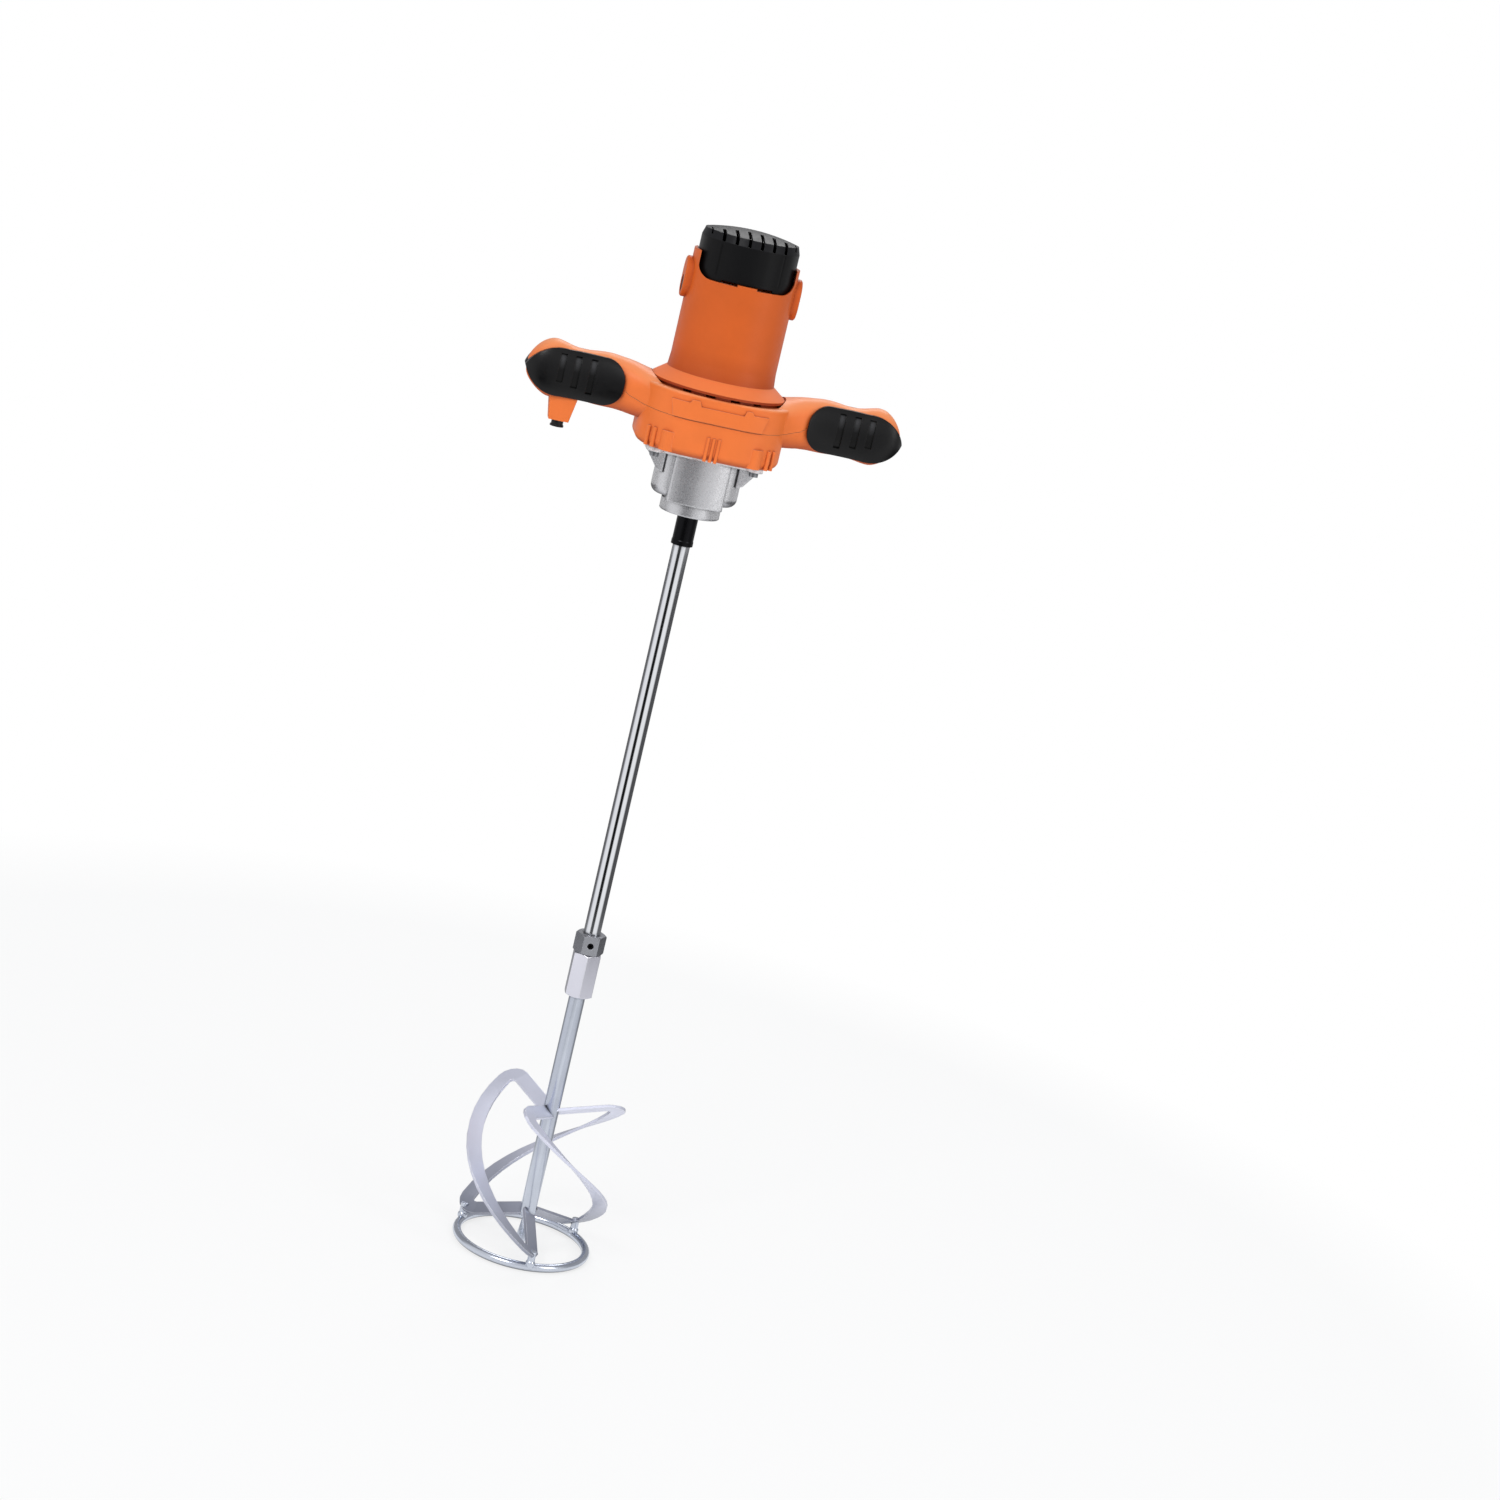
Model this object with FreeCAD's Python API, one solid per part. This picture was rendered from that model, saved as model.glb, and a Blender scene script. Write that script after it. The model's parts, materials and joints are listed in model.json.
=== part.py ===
import FreeCAD, Part
import math
import os

# Two-handed mixing drill, in millimetres.
# The origin is the middle of the two grips, on the spindle axis. +Z points up along that axis
# to the motor cap, +X points to the user's left grip, and -Y is the front.
# Lengths are taken from the photograph, with the motor housing as 99 mm across.

V = FreeCAD.Vector
UP = V(0, 0, 1)
ALONG_X = V(1, 0, 0)
ALONG_Y = V(0, 1, 0)
ORIGIN = V(0, 0, 0)

# Clearances
RUNNING_FIT = 0.05      # journal in its bearing, radius
SEAT_FIT = 0.05         # pressed or glued seat inside one body, radius
SCREW_FIT = 0.1         # screw shank in its hole, radius
SLIDE_GAP = 0.4         # trigger or button in its window
PARTING_GAP = 0.3       # visible seam between the handle shells
PAD_FIT = 0.1           # grip pad over the arm

# Motor housing, on the deck of the handle body
DECK_Z = 12.4
HOUSING_R = 49.5
HOUSING_WALL = 3.0
HOUSING_IN_R = HOUSING_R - HOUSING_WALL
HOUSING_FOOT_R = HOUSING_R + 1.0
LEDGE_R = HOUSING_R + 13.8
LEDGE_BOTTOM = DECK_Z + 2.6
LEDGE_TOP = LEDGE_BOTTOM + 2.5
FLARE_TOP = LEDGE_TOP + 9.5
SPIGOT_R = LEDGE_R - 3.8
FAN_Z = (DECK_Z + 4.6, DECK_Z + 17.6)
STATOR_LENGTH = 48.0
STATOR_BOTTOM = FAN_Z[1] + 10.0
STATOR_TOP = STATOR_BOTTOM + STATOR_LENGTH
BRUSH_Z = STATOR_TOP + 14.5
COMMUTATOR_Z = (BRUSH_Z - 7.5, BRUSH_Z + 7.0)
NOTCH_FLOOR = BRUSH_Z + 11.5
NOTCH_HALF = HOUSING_R - 4.7
NOTCH_CORNER = 12.0
CHEEK_TOP = NOTCH_FLOOR + 23.0
TAB_HALF = 9.0
TAB_HEIGHT = 2.0
BRUSH_BOSS_R = 14.0
BRUSH_BOSS_Z = (BRUSH_Z + 2.0, BRUSH_Z + 12.0)
BRUSH_BOSS_X = HOUSING_R + 4.7
BRUSH_BOSS_EDGE = 1.2
BRUSH_HOLDER = (4.7, 6.4)
BRUSH_HALF = (3.25, 5.0)
BRUSH_BACK_X = 30.0
BRUSH_SLIDE = 0.1
SPRING_ROLL_R = 4.0
BRUSH_CAP_R = 8.0
OUTLET_COUNT = 16
OUTLET_WIDTH = 9.0
OUTLET_DEPTH = 16.0
SPIDER_THICK = 3.0
SPIDER_Z = NOTCH_FLOOR - SPIDER_THICK
SPIDER_ARM = 12.0
SPIDER_SEAT = 4.5
BEARING_WALL = 3.5
CAP_BOSS_R = 6.0
CAP_BOSS_DEPTH = 8.0

# Cap
CAP_GAP = 0.7
CAP_R = HOUSING_IN_R - CAP_GAP
CAP_WALL = 3.0
CAP_BOTTOM = NOTCH_FLOOR + 0.3
CAP_SHOULDER = CAP_BOTTOM + 36.2
CAP_RIM_R = CAP_R - 2.2
CAP_RIM = CAP_SHOULDER + 7.1
CAP_TOP = CAP_RIM + 5.4
SLOT_COUNT = 6
SLOT_PITCH = 11.5
SLOT_WIDTH = 3.0
SLOT_INNER_Y = 17.0
END_SLOT_X = CAP_R - 6.8
END_SLOT_WIDTH = 1.2
CAP_NOTCH_HALF = 24.0
CAP_NOTCH_HEIGHT = 2.4
CAP_SCREWS = ((CAP_R - 11.8, 12.0), (11.8 - CAP_R, 12.0))
CAP_SCREW_R = 1.8
CAP_HEAD_R = 3.5
CAP_HEAD_HEIGHT = 2.6
CAP_HEAD_FIT = 0.7
CAP_SCREW_DEPTH = 6.0
CAP_PILLAR_R = 5.0
END_SLOT_INNER_Y = 8.0
CAP_SCREW_SEAT = CAP_BOTTOM + 7.7

# Handle body
SHELL_WALL = 3.0
BLOCK_HALF_X = LEDGE_R + 4.7
BLOCK_HALF_Y = LEDGE_R - 1.3
BLOCK_CORNER = BLOCK_HALF_Y - 15.0
SKIRT_BOTTOM = -45.0
SKIRT_EDGE = 8.0
DECK_EDGE = 2.5
DECK_HOLE_R = HOUSING_R - 7.5
PARTING_END = 0.6
PARTING_X = (32.0, BLOCK_HALF_X - 2.0, BLOCK_HALF_X + 13.0, BLOCK_HALF_X + 22.0)
PARTING_Z = (-11.0, -9.8, -5.6, 0.6)
SKIRT_COLUMNS = ((38.0, 2.2, 0.3), (47.0, 2.2, 0.3), (63.0, 7.5, -4.6))
RIB_PITCH = 5.0
RIB_RADIUS = 1.6
RIB_TOP = -22.7
PANEL_HALF = 45.5
PANEL_TAPER = 4.0
PANEL_TOP = 5.0
PANEL_FOOT = -10.0
PANEL_PROUD = 1.6
STEP_HALF = 29.0
STEP_TOP = 8.0
STEP_DIP = (-18.0, 22.0)

# Arm stations out from the axis: x, half depth, underside, top
ARM_LENGTH = 108.5
ARM_END = BLOCK_HALF_X + ARM_LENGTH
ARM_STATIONS = (
    (BLOCK_HALF_X - 38.0, BLOCK_HALF_Y - 12.0, -26.0, 18.0),
    (BLOCK_HALF_X - 18.0, BLOCK_HALF_Y - 16.0, -26.4, 18.0),
    (BLOCK_HALF_X - 2.0, BLOCK_HALF_Y - 29.0, -26.2, 19.6),
    (BLOCK_HALF_X + 12.0, 24.0, -24.8, 23.0),
    (BLOCK_HALF_X + 29.0, 19.5, -23.7, 25.3),
    (ARM_END - 60.5, 18.0, -23.2, 24.8),
    (ARM_END - 41.5, 18.5, -23.3, 24.4),
    (ARM_END - 25.5, 19.5, -25.2, 28.0),
    (ARM_END - 15.5, 19.0, -22.0, 26.3),
    (ARM_END - 7.5, 16.0, -16.0, 20.0),
    (ARM_END - 2.5, 11.0, -10.5, 13.0),
    (ARM_END, 5.0, -5.0, 6.5),
)
ARM_POWER = 2.6
ARM_POINTS = 28
ARM_REACH = 21.0

# Grip pads, in the front view
PAD_THICK = 3.0
PAD_INNER_X = BLOCK_HALF_X + 19.0
PAD_TIP_X = ARM_END + 2.0
PAD_TOP = 22.5
PAD_BOTTOM = -21.5
PAD_CORNER = 19.0
PAD_STRAIGHT_X = ARM_END - 34.5
PAD_BULLET_X = ARM_END - 7.0
PAD_BULLET_Z = 13.5
PAD_EDGE_Y = 3.0
GROOVE_X = (ARM_END - 59.0, ARM_END - 44.5, ARM_END - 30.5)
GROOVE_WIDTH = 6.0
GROOVE_DEPTH = 2.0
GROOVE_TOP = 18.5
GROOVE_BOTTOM = (-14.0, -11.0, -8.0)

# Trigger and lock button, on the back of the left-hand arm of the front view
TRIGGER_X = -PAD_INNER_X - 26.0
TRIGGER_HALF_X = 19.0
TRIGGER_HALF_Z = 10.5
TRIGGER_FACE_Y = 27.5
TRIGGER_FLANGE_Y = 11.4
TRIGGER_FLANGE = 1.5
TRIGGER_LIP = 1.5
PLUNGER_R = 3.0
LOCK_X = -PAD_INNER_X + 7.0
LOCK_Z = 4.0
LOCK_R = 5.0
LOCK_FACE_Y = 28.9
LOCK_FLANGE_Y = 17.0
LOCK_LIP = 1.2
SWITCH_BACK_Y = 5.2
SWITCH_FRONT_Y = -11.0
SWITCH_HALF_X = 18.0
SWITCH_HALF_Z = 12.0

# Screws that join the handle shells: place in plan, sizes, and height of the head's seat
HANDLE_SCREWS = tuple(
    (side * x, y) for side, x, y in (
        (-1, ARM_END - 16.5, -2.0), (-1, PAD_INNER_X - 3.0, -8.0),
        (1, PAD_INNER_X - 3.0, -8.0), (1, ARM_END - 16.5, -2.0),
    )
)
HANDLE_SCREW_R = 2.0
HANDLE_SCREW_TOP = 12.0
HANDLE_HEAD_R = 3.8
HANDLE_HEAD_Z = -14.0
HANDLE_HEAD_HEIGHT = 3.0
HANDLE_COLUMN_R = 5.6

# Cord outlet
OUTLET_X = 38.5 - ARM_END
OUTLET_TOP = -21.0
OUTLET_BOTTOM = -44.5
OUTLET_HALF_TOP = 13.2
OUTLET_HALF_BOTTOM = 9.4
OUTLET_EDGE = 1.2
BUSH_R = 5.6
BUSH_FLANGE_R = 7.6
BUSH_LIP_R = 6.4
BUSH_BORE_R = 3.9
BUSH_TOP = -26.0
BUSH_FLANGE = 4.0
BUSH_LIP = 1.6
BUSH_END = -51.0
CLAMP_Z = -14.0
CLAMP_SCREW_Y = 10.2
CLAMP_SCREW_R = 1.5
CLAMP_SCREW_HEAD = (2.5, 1.8)
CLAMP_SCREW_DEPTH = 4.5
CLAMP_COLUMN_R = 2.9
CLAMP_HALF_X = 3.5
CLAMP_THICK = 3.5
CAPACITOR_X = (PAD_INNER_X + 13.0, PAD_INNER_X + 43.0)
CAPACITOR_R = 7.0

# Gear train: two spur stages between the coaxial motor and spindle and a layshaft beside them
STAGE1_MODULE = 1.0
STAGE1_PINION = 7
STAGE1_GEAR = 43
CENTRE_DISTANCE = STAGE1_MODULE * (STAGE1_PINION + STAGE1_GEAR) / 2
STAGE2_PINION = 8
STAGE2_GEAR = 32
STAGE2_MODULE = 2 * CENTRE_DISTANCE / (STAGE2_PINION + STAGE2_GEAR)
PROFILE_SHIFT = 0.4
ADDENDUM = 0.8
BACKLASH = 0.12
PRESSURE = math.radians(20)
FLANK_STEPS = 4

# Heights of the gear train
PLATE_TOP = -21.0
PLATE_BOTTOM = PLATE_TOP - 9.0
STAGE1_TOP = PLATE_BOTTOM - 3.0
STAGE1_BOTTOM = STAGE1_TOP - 9.0
FLOOR1 = STAGE1_BOTTOM - 2.0
STAGE2_TOP = FLOOR1 - 3.0
STAGE2_BOTTOM = STAGE2_TOP - 13.0
FLOOR2 = STAGE2_BOTTOM - 2.0

# Gear housing
EAR_X = HOUSING_R - 2.5
EAR_Y = 28.0
EAR_R = 8.0
EAR_BOTTOM = SKIRT_BOTTOM - 5.0
WEB_INNER_Y = 12.0
WEB_OUTER_Y = 17.0
WEB_BOTTOM = EAR_BOTTOM - 20.0
PANEL_FRONT = 32.0
PANEL_CURVE_R = 60.0
PANEL_X = 26.5
LOBE_X = 20.0
LOBE_R = 21.0
LOBE_EDGE = 8.0
CASE_BOTTOM = FLOOR2 - 31.5
LOBE_BOTTOM = CASE_BOTTOM + 2.0
COLLAR_BOTTOM = CASE_BOTTOM - 11.5
RIM_WALL = 5.0
RIM_R = STAGE1_MODULE * STAGE1_GEAR / 2 + 3.0 + RIM_WALL
RIM_LEFT_X = -2.0
RIM_GAP = 0.4
HOUSING_SCREW_R = 2.5
HOUSING_SCREW_TOP = DECK_Z + 7.6
HOUSING_HEAD_R = 4.3
HOUSING_HEAD_HEIGHT = 4.5
COLUMN_R = 4.6
PLATE_SCREW_R = 1.5
PLATE_HEAD_R = 2.4
PLATE_HEAD_HEIGHT = 2.2
PLATE_HEAD_SINK = 3.0
PLATE_SCREW_DEPTH = 8.5
WELL_R = STAGE2_MODULE * STAGE2_GEAR / 2 + 3.5
LAY_WELL_R = 9.0
POCKET_R = 8.0
POCKET_X = -29.0

# Bearings: bore radius, outer radius and width, then the heights of their lower faces
UPPER_BEARING = (4.0, 11.0, 7.0)
LOWER_BEARING = (5.0, 11.0, 6.0)
LAY_UPPER = (4.0, 11.0, 7.0)
LAY_LOWER = (4.0, 6.0, 10.0)
SPINDLE_R = 10.0
SPINDLE_UPPER = (SPINDLE_R - 2.5, SPINDLE_R + 6.0, 9.0)
SPINDLE_LOWER = (SPINDLE_R - 1.5, SPINDLE_R + 7.5, 10.0)
COLLAR_R = SPINDLE_LOWER[1] + 11.0
UPPER_BEARING_Z = SPIDER_Z + 5.0
LOWER_BEARING_Z = PLATE_BOTTOM + 1.5
LAY_UPPER_Z = PLATE_BOTTOM + 0.5
LAY_LOWER_Z = FLOOR2 - 22.0
SPINDLE_UPPER_Z = FLOOR2 - 2.0 - SPINDLE_UPPER[2]
SPINDLE_LOWER_Z = COLLAR_BOTTOM + 5.0
RETAINING_RING = 1.2

# Motor
STATOR_R = HOUSING_IN_R - 2.5
STATOR_BORE = 24.0
YOKE_R = STATOR_R - 9.5
POLE_HALF_ANGLE = 51.0
COIL_R = (STATOR_BORE + 2.0, YOKE_R - 1.5)
COIL_HALF_ANGLE = 68.0
COIL_OVERHANG = 5.5
ARMATURE_R = STATOR_BORE - 0.7
ARMATURE_SLOTS = 12
ARMATURE_SLOT_WIDTH = 3.0
ARMATURE_SLOT_FLOOR = 13.0
COMMUTATOR_R = 13.0
COMMUTATOR_BARS = 24
SHAFT_R = 6.0
FAN_R = 38.0
FAN_BLADES = 13
POST_Y = STATOR_R - 4.5
POST_R = 4.4
POST_GAP = 0.3
STATOR_SCREW_R = 2.0
STATOR_HEAD_R = 3.6
STATOR_HEAD_HEIGHT = 3.0
STATOR_SCREW_REACH = 14.0
WINDING_R = (15.0, ARMATURE_R - 2.3)
BAFFLE_BORE = 30.0
FAN_HUB_R = 11.0
FAN_BLADE_TILT = 20.0

# Spindle and mixing rod
SPINDLE_END = COLLAR_BOTTOM - 30.4
THREAD_R = SPINDLE_R - 3.0
ROD_R = THREAD_R + 1.2
ROD_LENGTH = 388.3
ROD_END = SPINDLE_END - ROD_LENGTH
NUT_AF = 26.0
NUT_HEIGHT = 19.3
NUT_BOTTOM = ROD_END - NUT_HEIGHT
COUPLING_AF = 25.6
COUPLING_LENGTH = 44.0
COUPLING_BOTTOM = NUT_BOTTOM - COUPLING_LENGTH
PADDLE_SHAFT_R = THREAD_R + 0.9
STUD_GAP = 0.1
UPPER_STUD = 23.0
MIDDLE_STUD = 42.0
LOWER_STUD = 18.0
GEAR_SEAT_R = SPINDLE_R - 3.0
SPINDLE_TOP = STAGE2_TOP + 0.5
KEY = (4.0, 10.0, 2.0)
SET_SCREW_R = 3.0
SET_SCREW_SINK = 0.8
PIN_R = (3.6, 6.0)

# Paddle
PADDLE_LENGTH = 259.0
RING_Z = COUPLING_BOTTOM - PADDLE_LENGTH
BLADE_R = 75.0
RING_R = BLADE_R - 10.7
RING_TUBE_R = 4.2
STRIP_WIDTH = 14.5
STRIP_THICK = 3.0
BEND_R = 4.0
BEND_STEPS = 5
HUB_HEIGHT = 34.0
FOOT_HEIGHT = 21.0
UPPER_ARM_ROOT = 136.0
HELIX_TOP = 143.0
BLADE_TOP_AZIMUTH = (133.0, 13.0, 253.0)
BLADE_WRAP = 133.0
HELIX_STEPS = 14
WELD_R = 4.9
WELD_POST_R = 3.8
WELD_TURN = 9.0


def ring(outer, inner, z0, z1, x=0.0, y=0.0):
    """Upright tube between two heights."""
    low, high = min(z0, z1), max(z0, z1)
    solid = Part.makeCylinder(outer, high - low, V(x, y, low))
    if inner <= 0:
        return solid
    return solid.cut(Part.makeCylinder(inner, high - low + 2, V(x, y, low - 1)))


def disc(radius, z0, z1, x=0.0, y=0.0):
    return ring(radius, 0, z0, z1, x, y)


def box(x0, x1, y0, y1, z0, z1):
    return Part.makeBox(x1 - x0, y1 - y0, z1 - z0, V(x0, y0, z0))


def revolve(points):
    """Solid of revolution about Z from a closed outline of (r, z)."""
    wire = Part.makePolygon([V(r, 0, z) for r, z in points + [points[0]]])
    return Part.Face(wire).revolve(ORIGIN, UP, 360)


def prism_y(points, y0, y1):
    """Straight prism along Y from a closed outline of (x, z)."""
    wire = Part.makePolygon([V(x, y0, z) for x, z in points + [points[0]]])
    return Part.Face(wire).extrude(V(0, y1 - y0, 0))


def prism_z(points, z0, z1):
    wire = Part.makePolygon([V(x, y, z0) for x, y in points + [points[0]]])
    return Part.Face(wire).extrude(V(0, 0, z1 - z0))


def rounded_block(half_x, half_y, corner, z0, z1):
    """Upright block with round vertical corners."""
    solid = box(-half_x, half_x, -half_y, half_y, z0, z1)
    return solid.makeFillet(corner, [e for e in solid.Edges if is_upright(e)])


def is_upright(edge):
    a, b = edge.Vertexes[0].Point, edge.Vertexes[-1].Point
    return abs(a.x - b.x) < 1e-6 and abs(a.y - b.y) < 1e-6 and abs(a.z - b.z) > 1e-6


def edges_at_height(solid, z):
    return [e for e in solid.Edges if abs(e.BoundBox.ZMin - z) < 1e-4 and abs(e.BoundBox.ZMax - z) < 1e-4]


def stadium(radius, x0, x1, z0, z1):
    """Upright slot shape from centre x0 to centre x1."""
    ends = disc(radius, z0, z1, x0).fuse(disc(radius, z0, z1, x1))
    return ends.fuse(box(x0, x1, -radius, radius, z0, z1)).removeSplitter()


def turned(solid, angle):
    copy = solid.copy()
    copy.rotate(ORIGIN, UP, angle)
    return copy


def mirrored_x(solid):
    return solid.mirror(ORIGIN, ALONG_X)


def both_sides(solid):
    return [solid, mirrored_x(solid)]


def four_corners(solid):
    front = both_sides(solid)
    return front + [s.mirror(ORIGIN, ALONG_Y) for s in front]


def joined(solids):
    return solids[0].fuse(solids[1:]).removeSplitter() if len(solids) > 1 else solids[0]


def hexagon(across_flats, z0, z1, corner_front):
    """Hexagonal bar, with a corner or a flat towards the front."""
    radius = across_flats / math.sqrt(3)
    first = 30 if corner_front else 0
    corners = [math.radians(first + 60 * k) for k in range(6)]
    return prism_z([(radius * math.cos(a), radius * math.sin(a)) for a in corners], z0, z1)


def chamfered_hexagon(across_flats, z0, z1, corner_front):
    """Hexagonal nut with its corners turned off at both ends."""
    corner = across_flats / math.sqrt(3)
    flat = across_flats / 2 - 0.3
    drop = (corner - flat) * math.tan(math.radians(30))
    cone = revolve([(0, z0), (flat, z0), (corner, z0 + drop), (corner, z1 - drop), (flat, z1), (0, z1)])
    return hexagon(across_flats, z0, z1, corner_front).common(cone)


# Gears

def involute(angle):
    return math.tan(angle) - angle


def tooth_outline(teeth, module, shift):
    """Closed outline of an involute spur gear, with a tooth centred on +X."""
    pitch_r = module * teeth / 2
    base_r = pitch_r * math.cos(PRESSURE)
    tip_r = pitch_r + module * (ADDENDUM + shift)
    root_r = pitch_r + module * (shift - 1.25)
    half = (math.pi / 2 + 2 * shift * math.tan(PRESSURE)) / teeth - BACKLASH / 2 / pitch_r
    start_r = max(base_r, root_r)
    flank = []
    for k in range(FLANK_STEPS + 1):
        r = start_r + (tip_r - start_r) * k / FLANK_STEPS
        flank.append((r, half + involute(PRESSURE) - involute(math.acos(min(1.0, base_r / r)))))
    flank.insert(0, (root_r, flank[0][1]))
    if start_r == root_r:
        flank.pop(0)
    points = []
    for k in range(teeth):
        middle = 2 * math.pi * k / teeth
        points += [(r, middle - a) for r, a in flank]
        points += [(r, middle + a) for r, a in reversed(flank)]
    return [(r * math.cos(a), r * math.sin(a)) for r, a in points]


def spur(teeth, module, shift, z0, z1):
    return prism_z(tooth_outline(teeth, module, shift), z0, z1)


def moved_x(solid, distance):
    copy = solid.copy()
    copy.translate(V(distance, 0, 0))
    return copy


# Bearings, shared by all shafts

def bearing(sizes, z0, x=0.0):
    """Shielded ball bearing: two races with a shallow step at each face."""
    bore, outer, width = sizes
    race = (outer - bore) * 0.28
    inner_race_r = bore + race
    outer_race_r = outer - race
    body = ring(outer, bore + RUNNING_FIT, z0, z0 + width)
    for low in (z0 - 1, z0 + width - 0.4):
        body = body.cut(ring(outer_race_r, inner_race_r, low, low + 1.4))
    return moved_x(body, x)


# Motor cap and housing

def cap_form(inset, bottom):
    """Dome-topped drum: the outside of the cap, or its hollow."""
    rim_r, rim, top = CAP_RIM_R - inset, CAP_RIM - inset, CAP_TOP - inset
    drum_r = CAP_R - inset
    drum = revolve([
        (0, bottom), (drum_r, bottom), (drum_r, CAP_SHOULDER), (rim_r, rim), (rim_r, top), (0, top),
    ])
    rise = top - rim
    crown_r = (rim_r ** 2 + rise ** 2) / (2 * rise)
    return drum.common(Part.makeSphere(crown_r, V(0, 0, top - crown_r)))


def motor_cap():
    cap = cap_form(0, CAP_BOTTOM).cut(cap_form(CAP_WALL, CAP_BOTTOM - 1))
    slots = []
    half = SLOT_WIDTH / 2
    for k in range(SLOT_COUNT):
        x = (k - (SLOT_COUNT - 1) / 2) * SLOT_PITCH
        slots.append(box(x - half, x + half, SLOT_INNER_Y, CAP_R + 1, CAP_SHOULDER, CAP_TOP + 1))
    half = END_SLOT_WIDTH / 2
    for x in (-END_SLOT_X, END_SLOT_X):
        slots.append(box(x - half, x + half, END_SLOT_INNER_Y, CAP_R, CAP_SHOULDER + 3, CAP_TOP))
    slots += [s.mirror(ORIGIN, ALONG_Y) for s in slots]
    notch_top = CAP_BOTTOM + CAP_NOTCH_HEIGHT
    notch = box(-CAP_NOTCH_HALF, CAP_NOTCH_HALF, -CAP_R - 1, CAP_R + 1, CAP_BOTTOM - 1, notch_top)
    cap = cap.cut(slots + [notch])
    roof = CAP_RIM - CAP_WALL + 1
    pillars = [disc(CAP_PILLAR_R, CAP_BOTTOM, roof, x, y) for x, y in CAP_SCREWS]
    holes = [disc(CAP_HEAD_R + CAP_HEAD_FIT, CAP_SCREW_SEAT, CAP_TOP, x, y) for x, y in CAP_SCREWS]
    holes += [disc(CAP_SCREW_R + SCREW_FIT, CAP_BOTTOM, CAP_TOP, x, y) for x, y in CAP_SCREWS]
    return cap.fuse(pillars).cut(holes)


def cap_screws():
    screws = []
    top = CAP_SCREW_SEAT + CAP_HEAD_HEIGHT
    for x, y in CAP_SCREWS:
        head = disc(CAP_HEAD_R, CAP_SCREW_SEAT, top, x, y)
        screw = head.fuse(disc(CAP_SCREW_R, SPIDER_Z - CAP_SCREW_DEPTH, CAP_SCREW_SEAT, x, y))
        screws.append(screw.cut(cross_slot(x, y, top, CAP_HEAD_HEIGHT / 2)))
    return Part.makeCompound(screws)


def cross_slot(x, y, top, depth):
    """Cross recess cut down from a screw's face."""
    arm, half = 2.0, 0.45
    one = box(x - arm, x + arm, y - half, y + half, top - depth, top + 1)
    return one.fuse(box(x - half, x + half, y - arm, y + arm, top - depth, top + 1))


def housing_wall():
    inner = HOUSING_IN_R
    return revolve([
        (inner, DECK_Z), (SPIGOT_R, DECK_Z), (SPIGOT_R, LEDGE_BOTTOM), (LEDGE_R, LEDGE_BOTTOM),
        (LEDGE_R, LEDGE_TOP), (HOUSING_FOOT_R, FLARE_TOP), (HOUSING_R, FLARE_TOP + 12),
        (HOUSING_R, CHEEK_TOP), (inner, CHEEK_TOP),
    ])


def cap_notch():
    """Round-cornered opening across the top of the housing, where the cap shows."""
    reach = HOUSING_R + 5
    solid = box(-NOTCH_HALF, NOTCH_HALF, -reach, reach, NOTCH_FLOOR, CHEEK_TOP + 20)
    low = [e for e in edges_at_height(solid, NOTCH_FLOOR) if e.BoundBox.YLength > reach]
    return solid.makeFillet(NOTCH_CORNER, low)


def brush_boss():
    """Upright round-ended boss on the housing's right side."""
    root = HOUSING_R - 6
    low, high = BRUSH_BOSS_Z
    reach = BRUSH_BOSS_X - root
    ends = [Part.makeCylinder(BRUSH_BOSS_R, reach, V(root, 0, z), ALONG_X) for z in BRUSH_BOSS_Z]
    boss = joined(ends + [box(root, BRUSH_BOSS_X, -BRUSH_BOSS_R, BRUSH_BOSS_R, low, high)])
    face = [e for e in boss.Edges if abs(e.BoundBox.XMin - BRUSH_BOSS_X) < 1e-6]
    return boss.makeChamfer(BRUSH_BOSS_EDGE, face)


def spider():
    """End wall that holds the upper bearing, on four arms that let the air through."""
    inner = HOUSING_IN_R
    top = SPIDER_Z + SPIDER_THICK
    seat = ring(inner + 1, CAP_R - SPIDER_SEAT, SPIDER_Z, top)
    arm = box(-inner, inner, -SPIDER_ARM / 2, SPIDER_ARM / 2, SPIDER_Z, top)
    hub = disc(UPPER_BEARING[1] + BEARING_WALL, SPIDER_Z, UPPER_BEARING_Z + UPPER_BEARING[2] + 2)
    posts = [disc(POST_R, STATOR_TOP + POST_GAP, top, 0, y) for y in (-POST_Y, POST_Y)]
    bosses = [disc(CAP_BOSS_R, SPIDER_Z - CAP_BOSS_DEPTH, top, x, y) for x, y in CAP_SCREWS]
    return joined([seat, arm, turned(arm, 90), hub] + posts + bosses)


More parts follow.
